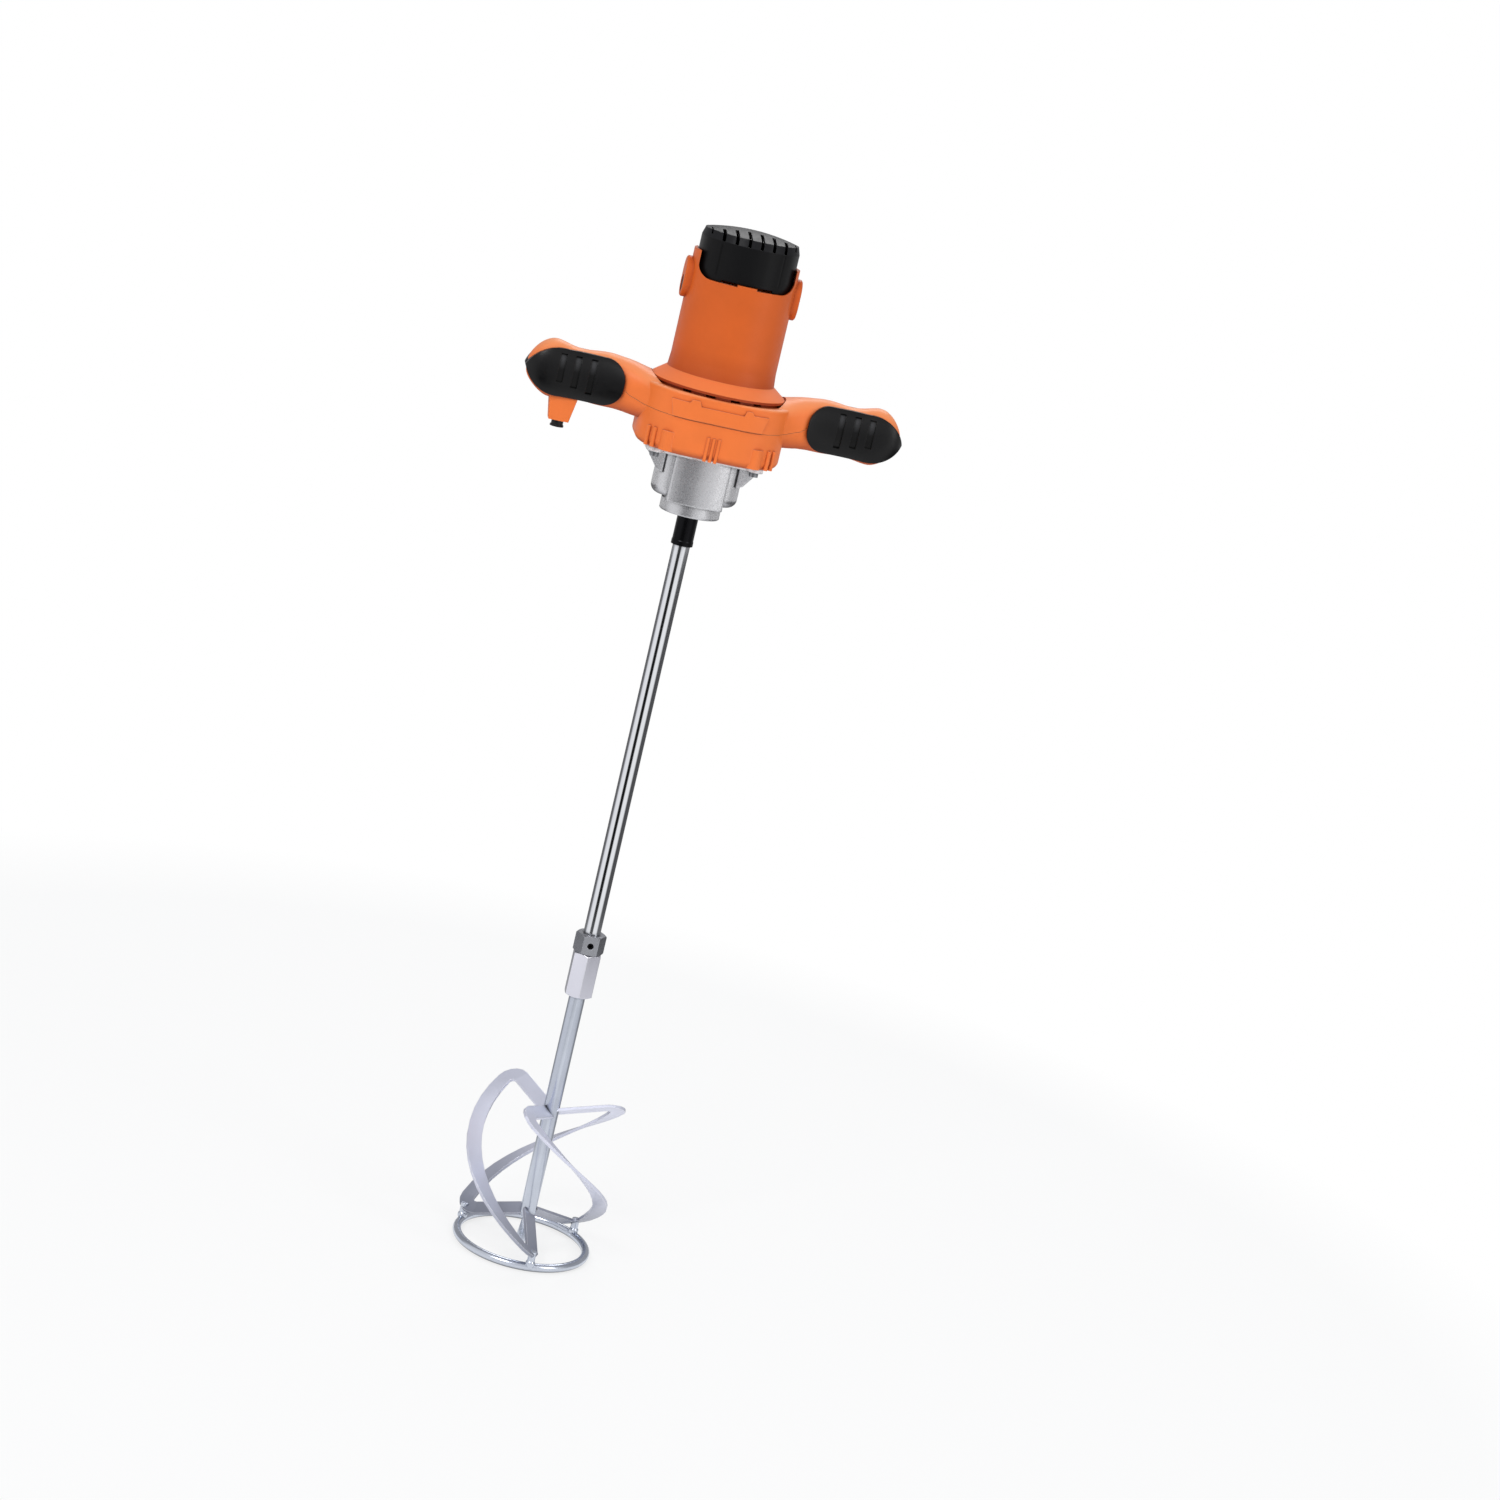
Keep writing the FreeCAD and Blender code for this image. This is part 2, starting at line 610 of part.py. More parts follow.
def motor_housing():
    inner = HOUSING_IN_R
    shell = housing_wall().fuse(both_sides(brush_boss()))
    shell = shell.cut(disc(inner, FLARE_TOP, CHEEK_TOP + 1)).cut(cap_notch())
    tab = ring(HOUSING_R, inner, NOTCH_FLOOR - 1, NOTCH_FLOOR + TAB_HEIGHT)
    tab = tab.common(box(-TAB_HALF, TAB_HALF, -HOUSING_R, HOUSING_R, 0, CHEEK_TOP))
    shell = joined([shell, tab, spider()])
    bearing_r = UPPER_BEARING[1] + SEAT_FIT
    shell = shell.cut(disc(bearing_r, SPIDER_Z - 1, UPPER_BEARING_Z + UPPER_BEARING[2] + SEAT_FIT))
    boss_hole = Part.makeCylinder(BRUSH_CAP_R + SEAT_FIT, 20, V(HOUSING_R - 7, 0, BRUSH_Z), ALONG_X)
    shell = shell.cut(both_sides(boss_hole))
    low = SPIDER_Z - CAP_SCREW_DEPTH - 0.5
    holes = [disc(CAP_SCREW_R + SCREW_FIT, low, CHEEK_TOP, x, y) for x, y in CAP_SCREWS]
    high = STATOR_TOP + STATOR_SCREW_REACH + 2
    holes += [disc(STATOR_SCREW_R + SCREW_FIT, STATOR_TOP, high, 0, y) for y in (-POST_Y, POST_Y)]
    shell = shell.cut(holes)
    half = OUTLET_WIDTH / 2
    outlet = box(SPIGOT_R - OUTLET_DEPTH, SPIGOT_R + 1, -half, half, DECK_Z - 1, LEDGE_BOTTOM)
    shell = shell.cut([turned(outlet, a) for a in outlet_angles()])
    screw_hole = disc(HOUSING_SCREW_R + SCREW_FIT, DECK_Z - 1, HOUSING_SCREW_TOP + 0.5, EAR_X, EAR_Y)
    return shell.cut(four_corners(screw_hole))


def outlet_angles():
    """Air outlets all round under the ledge, except beside the four screws."""
    screw_angle = math.degrees(math.atan2(EAR_Y, EAR_X))
    step = 360 / OUTLET_COUNT
    angles = [step * (k + 0.5) for k in range(OUTLET_COUNT)]
    screws = (screw_angle, 180 - screw_angle)
    return [a for a in angles if min(abs(a % 180 - s) for s in screws) > step / 2]


def brush_caps():
    cap = Part.makeCylinder(BRUSH_CAP_R, 6.0, V(BRUSH_BOSS_X - 6.6, 0, BRUSH_Z), ALONG_X)
    slot = box(BRUSH_BOSS_X - 2.6, BRUSH_BOSS_X, -1.0, 1.0, BRUSH_Z - 10, BRUSH_Z + 10)
    return Part.makeCompound(both_sides(cap.cut(slot)))


def brush_holders():
    half_y, half_z = BRUSH_HOLDER
    bore_y, bore_z = (half + BRUSH_SLIDE for half in BRUSH_HALF)
    inner = COMMUTATOR_R + 3
    outer = box(inner, BRUSH_BOSS_X - 7, -half_y, half_y, BRUSH_Z - half_z, BRUSH_Z + half_z)
    bore = box(inner - 1, BRUSH_BOSS_X, -bore_y, bore_y, BRUSH_Z - bore_z, BRUSH_Z + bore_z)
    return Part.makeCompound(both_sides(outer.cut(bore)))


def carbon_brushes():
    half_y, half_z = BRUSH_HALF
    brush = box(COMMUTATOR_R - 1, BRUSH_BACK_X, -half_y, half_y, BRUSH_Z - half_z, BRUSH_Z + half_z)
    face = disc(COMMUTATOR_R + BRUSH_SLIDE, BRUSH_Z - 2 * half_z, BRUSH_Z + 2 * half_z)
    return Part.makeCompound(both_sides(brush.cut(face)))


def brush_springs():
    """Rolled strip springs behind the brushes."""
    roll_x = BRUSH_BACK_X + 0.2 + SPRING_ROLL_R
    roll = Part.makeCylinder(SPRING_ROLL_R, 5.0, V(roll_x, -2.5, BRUSH_Z), ALONG_Y)
    roll = roll.cut(Part.makeCylinder(SPRING_ROLL_R - 1.4, 7.0, V(roll_x, -3.5, BRUSH_Z), ALONG_Y))
    low = BRUSH_Z - SPRING_ROLL_R
    tongue = box(roll_x, BRUSH_BOSS_X - 7.5, -2.5, 2.5, low, low + 0.6)
    return Part.makeCompound(both_sides(roll.fuse(tongue).removeSplitter()))


# Stator

def sector(outer, inner, z0, z1, centre, half):
    """Part of an upright tube, between two angles."""
    start = centre - half
    whole = Part.makeCylinder(outer, z1 - z0, V(0, 0, z0), UP, 2 * half)
    whole.rotate(ORIGIN, UP, start)
    return whole.cut(disc(inner, z0 - 1, z1 + 1))


def stator_core():
    yoke = ring(STATOR_R, YOKE_R, STATOR_BOTTOM, STATOR_TOP)
    low, high = STATOR_BOTTOM, STATOR_TOP
    poles = [sector(YOKE_R + 1, STATOR_BORE, low, high, a, POLE_HALF_ANGLE) for a in (90, 270)]
    core = joined([yoke] + poles)
    hole_r = STATOR_SCREW_R + SCREW_FIT
    return core.cut([disc(hole_r, low - 1, high + 1, 0, y) for y in (-POST_Y, POST_Y)])


def stator_screws():
    head = STATOR_BOTTOM - STATOR_HEAD_HEIGHT
    tip = STATOR_TOP + STATOR_SCREW_REACH
    screws = []
    for y in (-POST_Y, POST_Y):
        screw = disc(STATOR_HEAD_R, head, STATOR_BOTTOM, 0, y).fuse(disc(STATOR_SCREW_R, head, tip, 0, y))
        screws.append(screw.cut(box(-3, 3, y - 0.5, y + 0.5, head - 1, head + 1)))
    return Part.makeCompound(screws)


def field_coils():
    coils = []
    low, high = STATOR_BOTTOM - COIL_OVERHANG, STATOR_TOP + COIL_OVERHANG
    window = POLE_HALF_ANGLE + 1.0
    for a in (90, 270):
        frame = sector(COIL_R[1], COIL_R[0], low, high, a, COIL_HALF_ANGLE)
        hole = sector(COIL_R[1] + 2, COIL_R[0] - 2, STATOR_BOTTOM - 0.2, STATOR_TOP + 0.2, a, window)
        coils.append(frame.cut(hole))
    return Part.makeCompound(coils)


def motor_baffle():
    """Ring that guides the air into the fan."""
    inner = HOUSING_IN_R
    low = FAN_Z[1] + 1
    rim = ring(inner - SEAT_FIT, inner - 2.5, low, STATOR_BOTTOM - 0.3)
    return rim.fuse(ring(inner - SEAT_FIT, BAFFLE_BORE, low, low + 1.6)).removeSplitter()


# Rotor

def armature_shaft():
    upper, lower = UPPER_BEARING[0], LOWER_BEARING[0]
    top = UPPER_BEARING_Z + UPPER_BEARING[2] - 0.2
    foot = STAGE1_TOP + 1
    shoulder = LOWER_BEARING_Z + LOWER_BEARING[2] + 0.5
    turned_shaft = revolve([
        (0, foot), (lower - 0.6, foot), (lower, LOWER_BEARING_Z - 0.5), (lower, shoulder),
        (SHAFT_R, shoulder + 1), (SHAFT_R, COMMUTATOR_Z[1] + 1), (upper, COMMUTATOR_Z[1] + 4),
        (upper, top - 0.6), (upper - 0.6, top), (0, top),
    ])
    pinion = spur(STAGE1_PINION, STAGE1_MODULE, PROFILE_SHIFT, STAGE1_BOTTOM - 0.5, STAGE1_TOP + 1.5)
    return turned_shaft.fuse(pinion).removeSplitter()


def armature_core():
    core = ring(ARMATURE_R, SHAFT_R + SEAT_FIT, STATOR_BOTTOM + 1, STATOR_TOP - 1)
    half = ARMATURE_SLOT_WIDTH / 2
    slot = box(ARMATURE_SLOT_FLOOR, ARMATURE_R + 1, -half, half, STATOR_BOTTOM, STATOR_TOP)
    return core.cut([turned(slot, 360 / ARMATURE_SLOTS * k) for k in range(ARMATURE_SLOTS)])


def armature_winding():
    low, high = STATOR_BOTTOM + 0.8, STATOR_TOP - 0.8
    inner = SHAFT_R + 1
    neck, outer = WINDING_R
    bottom = revolve([(inner, low - 6), (neck, low - 6), (outer, low - 3), (outer, low), (inner, low)])
    crest = high + 5.5
    top = revolve([(inner, high), (outer, high), (outer, high + 3), (neck, crest), (inner, crest)])
    half = ARMATURE_SLOT_WIDTH / 2 - 0.1
    bar = box(ARMATURE_SLOT_FLOOR + 0.2, ARMATURE_R - 1.5, -half, half, low - 1, high + 1)
    bars = [turned(bar, 360 / ARMATURE_SLOTS * k) for k in range(ARMATURE_SLOTS)]
    return joined([bottom, top] + bars)


def commutator():
    low, high = COMMUTATOR_Z
    drum = ring(COMMUTATOR_R, SHAFT_R + SEAT_FIT, low, high)
    riser = ring(COMMUTATOR_R + 1.6, SHAFT_R + 1, low, low + 1.2)
    slit = box(COMMUTATOR_R - 1.0, COMMUTATOR_R + 3, -0.25, 0.25, low - 1, high + 1)
    slits = [turned(slit, 360 / COMMUTATOR_BARS * k) for k in range(COMMUTATOR_BARS)]
    return drum.fuse(riser).removeSplitter().cut(slits)


def motor_fan():
    low, high = FAN_Z
    hub = ring(FAN_HUB_R, SHAFT_R + SEAT_FIT, low, high)
    plate = ring(FAN_R, SHAFT_R + 1, low, low + 2.0)
    root = FAN_HUB_R - 1
    blade = box(root, FAN_R - 1, -0.9, 0.9, low + 1, high)
    blade.rotate(V(root, 0, 0), UP, FAN_BLADE_TILT)
    reach = disc(FAN_R, low, high)
    blades = [turned(blade, 360 / FAN_BLADES * k).common(reach) for k in range(FAN_BLADES)]
    return joined([hub, plate] + blades)


# Handle body

def arm_section(x, half_depth, low, high, wall):
    """Closed superellipse across the arm, inset by the wall."""
    middle, half = (low + high) / 2, (high - low) / 2 - wall
    depth = half_depth - wall
    power = 2 / ARM_POWER
    points = []
    for k in range(ARM_POINTS):
        a = 2 * math.pi * k / ARM_POINTS
        c, s = math.cos(a), math.sin(a)
        y = depth * math.copysign(abs(c) ** power, c)
        z = middle + half * math.copysign(abs(s) ** power, s)
        points.append(V(x, y, z))
    curve = Part.BSplineCurve()
    curve.interpolate(Points=points, PeriodicFlag=True)
    return Part.Wire([curve.toShape()])


def arm_form(wall):
    """Right arm as one smooth solid; a negative wall gives the outside of a pad."""
    wires = []
    for x, depth, low, high in ARM_STATIONS:
        end = x > ARM_END - 16.0
        inset = min(wall, depth - 2.0) if wall > 0 else wall
        shift = -wall if end else 0.0
        wires.append(arm_section(x + shift, depth, low, high, inset))
    return Part.makeLoft(wires, True, False)


def block_form(inset, z0, z1):
    return rounded_block(BLOCK_HALF_X - inset, BLOCK_HALF_Y - inset, BLOCK_CORNER - inset, z0, z1)


def outer_block():
    block = block_form(0, SKIRT_BOTTOM, DECK_Z)
    block = block.makeFillet(SKIRT_EDGE, edges_at_height(block, SKIRT_BOTTOM))
    return block.makeFillet(DECK_EDGE, edges_at_height(block, DECK_Z))


def skirt_details():
    """Ribs, corner ridges and round columns on the outside of the skirt."""
    ribs = []
    for k in (-1, 0, 1):
        ribs.append(disc(RIB_RADIUS, SKIRT_BOTTOM, RIB_TOP, k * RIB_PITCH, -BLOCK_HALF_Y))
    centre_x = BLOCK_HALF_X - BLOCK_CORNER
    centre_y = BLOCK_HALF_Y - BLOCK_CORNER
    for angle, radius, out in SKIRT_COLUMNS:
        a = math.radians(angle)
        x = centre_x + (BLOCK_CORNER + out) * math.cos(a)
        y = centre_y + (BLOCK_CORNER + out) * math.sin(a)
        ribs += four_corners(disc(radius, SKIRT_BOTTOM + 1.5, ARM_STATIONS[1][2] + 1, x, y))
    ribs += [r.mirror(ORIGIN, ALONG_Y) for r in ribs[:3]]
    return ribs


def front_panel():
    """Raised panel under the ledge, stepped along its top edge."""
    left, right = STEP_DIP
    low, slope = PANEL_TOP - 2, 2.0
    foot = PANEL_HALF - PANEL_TAPER
    outline = [
        (-PANEL_HALF, PANEL_TOP), (-STEP_HALF, PANEL_TOP), (-STEP_HALF + slope, STEP_TOP),
        (left - slope, STEP_TOP), (left, low), (right, low), (right + slope, STEP_TOP),
        (STEP_HALF, STEP_TOP), (STEP_HALF + slope, PANEL_TOP), (PANEL_HALF, PANEL_TOP),
        (foot, PANEL_FOOT), (-foot, PANEL_FOOT),
    ]
    reach = prism_y(outline, -BLOCK_HALF_Y - 5, -20)
    return reach.common(block_form(-PANEL_PROUD, PANEL_FOOT - 2, STEP_TOP + 2))


def below_parting(lift):
    """Everything under the wavy seam between the handle shells."""
    far = 220.0
    right = list(zip(PARTING_X, PARTING_Z))
    seam = [(-x, z) for x, z in reversed(right)] + right
    outline = [(-far, -far), (-far, PARTING_END + lift)]
    outline += [(x, z + lift) for x, z in seam]
    outline += [(far, PARTING_END + lift), (far, -far)]
    return prism_y(outline, -far, far)


def body_form():
    arms = both_sides(arm_form(0))
    body = outer_block().fuse(arms).fuse(skirt_details() + [front_panel()])
    return body.cut(disc(LEDGE_R + 0.6, DECK_Z, DECK_Z + 40))


def body_hollow():
    room = block_form(SHELL_WALL, SKIRT_BOTTOM + SHELL_WALL, DECK_Z - SHELL_WALL)
    room = room.makeFillet(SKIRT_EDGE - SHELL_WALL, edges_at_height(room, SKIRT_BOTTOM + SHELL_WALL))
    arms = both_sides(arm_form(SHELL_WALL))
    keep_out = disc(LEDGE_R + 0.6 + SHELL_WALL, DECK_Z - SHELL_WALL, DECK_Z + 40)
    arms = [a.cut(keep_out) for a in arms]
    return room.fuse(arms)


def all_columns():
    columns = four_corners(disc(COLUMN_R, SKIRT_BOTTOM + 1, DECK_Z - 1, EAR_X, EAR_Y))
    columns += [disc(HANDLE_COLUMN_R, -ARM_REACH, ARM_REACH, x, y) for x, y in HANDLE_SCREWS]
    columns += [disc(CLAMP_COLUMN_R, -ARM_REACH, CLAMP_Z, OUTLET_X, y) for y in clamp_screw_sides()]
    return columns


def clamp_screw_sides():
    return (-CLAMP_SCREW_Y, CLAMP_SCREW_Y)


def trigger_window():
    gap = SLIDE_GAP
    return box(TRIGGER_X - TRIGGER_HALF_X - gap, TRIGGER_X + TRIGGER_HALF_X + gap, TRIGGER_FLANGE_Y, 40,
               -TRIGGER_HALF_Z - gap, TRIGGER_HALF_Z + gap)


def lock_window():
    return Part.makeCylinder(LOCK_R + SLIDE_GAP, 30, V(LOCK_X, LOCK_FLANGE_Y, LOCK_Z), ALONG_Y)


def cord_outlet_block():
    """Tapered square block that hangs from the lower shell, around the cord bush."""
    wires = []
    for z, half in ((OUTLET_TOP, OUTLET_HALF_TOP), (OUTLET_BOTTOM, OUTLET_HALF_BOTTOM)):
        x0, x1 = OUTLET_X - half, OUTLET_X + half
        corners = [V(x0, -half, z), V(x1, -half, z), V(x1, half, z), V(x0, half, z)]
        wires.append(Part.makePolygon(corners + [corners[0]]))
    block = Part.makeLoft(wires, True, True)
    return block.makeFillet(OUTLET_EDGE, [e for e in block.Edges if e.BoundBox.ZLength > 5])


def handle_shells():
    body = body_form().fuse(cord_outlet_block())
    hollow = body_hollow()
    shell = body.cut(hollow)
    columns = [c.common(hollow) for c in all_columns()]
    shell = shell.fuse(columns)
    cuts = [trigger_window(), lock_window(), disc(DECK_HOLE_R, DECK_Z - 5, DECK_Z + 5)]
    cuts += four_corners(disc(HOUSING_SCREW_R + SCREW_FIT, SKIRT_BOTTOM - 1, DECK_Z + 1, EAR_X, EAR_Y))
    cuts.append(stadium(RIM_R + RIM_GAP, RIM_LEFT_X, CENTRE_DISTANCE, SKIRT_BOTTOM - 1, SKIRT_BOTTOM + 6))
    for x, y in HANDLE_SCREWS:
        cuts.append(disc(HANDLE_SCREW_R + SCREW_FIT, HANDLE_HEAD_Z - 1, HANDLE_SCREW_TOP + 1, x, y))
        cuts.append(disc(HANDLE_HEAD_R + 0.3, 2 * -ARM_REACH, HANDLE_HEAD_Z, x, y))
    cuts.append(disc(BUSH_R + SEAT_FIT, OUTLET_BOTTOM - 1, OUTLET_TOP, OUTLET_X))
    cuts.append(disc(BUSH_FLANGE_R + SEAT_FIT, BUSH_TOP - BUSH_FLANGE, OUTLET_TOP + 6, OUTLET_X))
    for y in clamp_screw_sides():
        low = CLAMP_Z - CLAMP_SCREW_DEPTH - 0.5
        cuts.append(disc(CLAMP_SCREW_R + SCREW_FIT, low, CLAMP_Z + 1, OUTLET_X, y))
    shell = shell.cut(cuts)
    upper = shell.cut(below_parting(PARTING_GAP / 2))
    lower = shell.common(below_parting(-PARTING_GAP / 2))
    return largest(upper), largest(lower)


def largest(shape):
    return max(shape.Solids, key=lambda s: s.Volume)


def arc(start, middle, end):
    """Arc in the front view through three points, each (x, z)."""
    return Part.Arc(*[V(x, 0, z) for x, z in (start, middle, end)]).toShape()


def pad_outline():
    """Front-view outline of a right pad: square inner end, bullet outer end."""
    x0, top, bottom = PAD_INNER_X, PAD_TOP, PAD_BOTTOM
    turn_x = x0 + PAD_CORNER
    near = PAD_CORNER * (1 - math.sqrt(0.5))
    middle = (top + bottom) / 2
    tip = (PAD_TIP_X, middle)
    upper, lower = (PAD_STRAIGHT_X, top), (PAD_STRAIGHT_X, bottom)
    edges = [
        Part.makeLine(V(turn_x, 0, top), V(PAD_STRAIGHT_X, 0, top)),
        arc(upper, (PAD_BULLET_X, middle + PAD_BULLET_Z), tip),
        arc(tip, (PAD_BULLET_X, middle - PAD_BULLET_Z), lower),
        Part.makeLine(V(PAD_STRAIGHT_X, 0, bottom), V(turn_x, 0, bottom)),
        arc((turn_x, bottom), (x0 + near, bottom + near), (x0, bottom + PAD_CORNER)),
        Part.makeLine(V(x0, 0, bottom + PAD_CORNER), V(x0, 0, top - PAD_CORNER)),
        arc((x0, top - PAD_CORNER), (x0 + near, top - near), (turn_x, top)),
    ]
    return Part.Face(Part.Wire(edges))


def front_pad():
    """Right front pad: a rubber skin over the arm, with three grooves."""
    face = pad_outline()
    face.translate(V(0, -40, 0))
    prism = face.extrude(V(0, 40 - PAD_EDGE_Y, 0))
    skin = prism.common(arm_form(-PAD_THICK)).cut(arm_form(-PAD_FIT))
    grooves = []
    for x, bottom in zip(GROOVE_X, GROOVE_BOTTOM):
        half = GROOVE_WIDTH / 2
        grooves.append(box(x - half, x + half, -40, -PAD_EDGE_Y, bottom, GROOVE_TOP))
    floor = arm_form(GROOVE_DEPTH - PAD_THICK)
    return largest(skin.cut([g.cut(floor) for g in grooves]))


def rear_pad(right_pad):
    return right_pad.mirror(ORIGIN, ALONG_Y)


def trigger():
    """Paddle trigger with a lip inside the window and a plunger into the switch."""
    x0, x1 = TRIGGER_X - TRIGGER_HALF_X, TRIGGER_X + TRIGGER_HALF_X
    lip_y = TRIGGER_FLANGE_Y + TRIGGER_FLANGE
    paddle = box(x0, x1, TRIGGER_FLANGE_Y, TRIGGER_FACE_Y, -TRIGGER_HALF_Z, TRIGGER_HALF_Z)
    face = [e for e in paddle.Edges if e.BoundBox.YMin > TRIGGER_FACE_Y - 1e-6]
    paddle = paddle.makeFillet(3.5, face)
    lip = box(x0 - TRIGGER_LIP, x1 + TRIGGER_LIP, TRIGGER_FLANGE_Y, lip_y,
              -TRIGGER_HALF_Z - TRIGGER_LIP, TRIGGER_HALF_Z + TRIGGER_LIP)
    hollow = box(x0 + 2.5, x1 - 2.5, TRIGGER_FLANGE_Y - 1, TRIGGER_FACE_Y - 4.5,
                 -TRIGGER_HALF_Z + 2.5, TRIGGER_HALF_Z - 2.5)
    foot = SWITCH_BACK_Y - 3
    plunger = Part.makeCylinder(PLUNGER_R, TRIGGER_FACE_Y - 4 - foot, V(TRIGGER_X, foot, 0), ALONG_Y)
    return paddle.fuse(lip).cut(hollow).fuse(plunger).removeSplitter()


def lock_button():
    lip_y = LOCK_FLANGE_Y + TRIGGER_FLANGE
    place = V(LOCK_X, LOCK_FLANGE_Y, LOCK_Z)
    body = Part.makeCylinder(LOCK_R, LOCK_FACE_Y - LOCK_FLANGE_Y, place, ALONG_Y)
    rim = [e for e in body.Edges if e.BoundBox.YMin > LOCK_FACE_Y - 1e-6]
    lip = Part.makeCylinder(LOCK_R + LOCK_LIP, TRIGGER_FLANGE, place, ALONG_Y)
    stem = Part.makeCylinder(1.5, lip_y - 10, V(LOCK_X, 10, LOCK_Z), ALONG_Y)
    return body.makeFillet(1.2, rim).fuse([lip, stem]).removeSplitter()


def switch_body():
    """Sealed switch block with a bore for the trigger's plunger."""
    x0, x1 = TRIGGER_X - SWITCH_HALF_X, TRIGGER_X + SWITCH_HALF_X
    block = box(x0, x1, SWITCH_FRONT_Y, SWITCH_BACK_Y, -SWITCH_HALF_Z, SWITCH_HALF_Z)
    block = block.makeFillet(1.0, [e for e in block.Edges if e.BoundBox.YLength > 5])
    bore = Part.makeCylinder(PLUNGER_R + RUNNING_FIT, 14.0, V(TRIGGER_X, SWITCH_BACK_Y - 13, 0), ALONG_Y)
    return block.cut(bore)


def interference_capacitor():
    """Round can on the floor of the right arm."""
    x0, x1 = CAPACITOR_X
    floor = max(low for x, depth, low, high in ARM_STATIONS if x0 - 4 < x < x1 + 6) + SHELL_WALL
    can = Part.makeCylinder(CAPACITOR_R, x1 - x0, V(x0, 0, floor + CAPACITOR_R + 0.5), ALONG_X)
    return can.makeChamfer(0.6, [e for e in can.Edges if e.BoundBox.XLength < 1e-6])


def cord_bush():
    """Rubber bush that the cord comes out of; its flange is held in the block."""
    neck = disc(BUSH_R, BUSH_END, BUSH_TOP, OUTLET_X)
    flange = disc(BUSH_FLANGE_R, BUSH_TOP - BUSH_FLANGE, BUSH_TOP, OUTLET_X)
    lip = disc(BUSH_LIP_R, BUSH_END, BUSH_END + BUSH_LIP, OUTLET_X)
    return joined([neck, flange, lip]).cut(disc(BUSH_BORE_R, BUSH_END - 1, BUSH_TOP + 1, OUTLET_X))


def cord_clamp():
    reach = CLAMP_SCREW_Y + 2.8
    x0, x1 = OUTLET_X - CLAMP_HALF_X, OUTLET_X + CLAMP_HALF_X
    bar = box(x0, x1, -reach, reach, CLAMP_Z, CLAMP_Z + CLAMP_THICK)
    groove = Part.makeCylinder(BUSH_BORE_R, x1 - x0 + 2, V(x0 - 1, 0, CLAMP_Z - 1.8), ALONG_X)
    hole_r = CLAMP_SCREW_R + SCREW_FIT
    holes = [disc(hole_r, CLAMP_Z - 1, CLAMP_Z + 9, OUTLET_X, y) for y in clamp_screw_sides()]
    return bar.cut([groove] + holes)


def cord_clamp_screws():
    seat = CLAMP_Z + CLAMP_THICK
    head_r, head_height = CLAMP_SCREW_HEAD
    top = seat + head_height
    screws = []
    for y in clamp_screw_sides():
        shank = disc(CLAMP_SCREW_R, CLAMP_Z - CLAMP_SCREW_DEPTH, seat, OUTLET_X, y)
        screw = disc(head_r, seat, top, OUTLET_X, y).fuse(shank)
        screws.append(screw.cut(cross_slot(OUTLET_X, y, top, 1.0)))
    return Part.makeCompound(screws)


def handle_screws():
    screws = []
    low = HANDLE_HEAD_Z - HANDLE_HEAD_HEIGHT
    for x, y in HANDLE_SCREWS:
        head = disc(HANDLE_HEAD_R, low, HANDLE_HEAD_Z, x, y)
        screw = head.fuse(disc(HANDLE_SCREW_R, low, HANDLE_SCREW_TOP, x, y))
        screws.append(screw.cut(cross_slot(x, y, low + 1.4, HANDLE_HEAD_HEIGHT)))
    return Part.makeCompound(screws)


# Gear housing

def panel_form(grow, z0, z1):
    """Upright block whose front and back are gently curved."""
    offset = PANEL_CURVE_R - PANEL_FRONT
    front = disc(PANEL_CURVE_R + grow, z0, z1, 0, offset)
    back = disc(PANEL_CURVE_R + grow, z0, z1, 0, -offset)
    reach = PANEL_X + grow
    block = front.common(back).common(box(-reach, reach, -60, 60, z0, z1))
    return block.makeFillet(2.5, [e for e in block.Edges if is_upright(e)])


def case_outside():
    lobe = disc(LOBE_R, LOBE_BOTTOM, SKIRT_BOTTOM, LOBE_X)
    lobe = lobe.makeFillet(LOBE_EDGE, edges_at_height(lobe, LOBE_BOTTOM))
    collar = disc(COLLAR_R, COLLAR_BOTTOM, CASE_BOTTOM)
    collar = collar.makeChamfer(0.8, edges_at_height(collar, COLLAR_BOTTOM))
    rim = stadium(RIM_R, RIM_LEFT_X, CENTRE_DISTANCE, EAR_BOTTOM, PLATE_BOTTOM)
    flange = box(-EAR_X, EAR_X, -PANEL_FRONT + 1, PANEL_FRONT - 1, EAR_BOTTOM, SKIRT_BOTTOM)
    flange = flange.fuse(box(-EAR_X - EAR_R, EAR_X + EAR_R, -EAR_Y, EAR_Y, EAR_BOTTOM, SKIRT_BOTTOM))
    ears = four_corners(disc(EAR_R, EAR_BOTTOM, SKIRT_BOTTOM, EAR_X, EAR_Y))
    outer = EAR_X + EAR_R
    lobe_side = LOBE_X + LOBE_R
    web = prism_y([
        (outer, EAR_BOTTOM + 1), (lobe_side, WEB_BOTTOM + 2), (lobe_side - 6, WEB_BOTTOM),
        (lobe_side - 6, EAR_BOTTOM + 1),
    ], WEB_INNER_Y, WEB_OUTER_Y)
    panel = panel_form(0, CASE_BOTTOM, SKIRT_BOTTOM)
    return joined([panel, collar, rim, flange] + both_sides(lobe) + ears + four_corners(web))


def plate_screw_places():
    """On the rim's wall: one at each end and one at each side."""
    middle = RIM_R - RIM_WALL / 2
    centre = (RIM_LEFT_X + CENTRE_DISTANCE) / 2
    return [(RIM_LEFT_X - middle, 0), (CENTRE_DISTANCE + middle, 0), (centre, -middle), (centre, middle)]


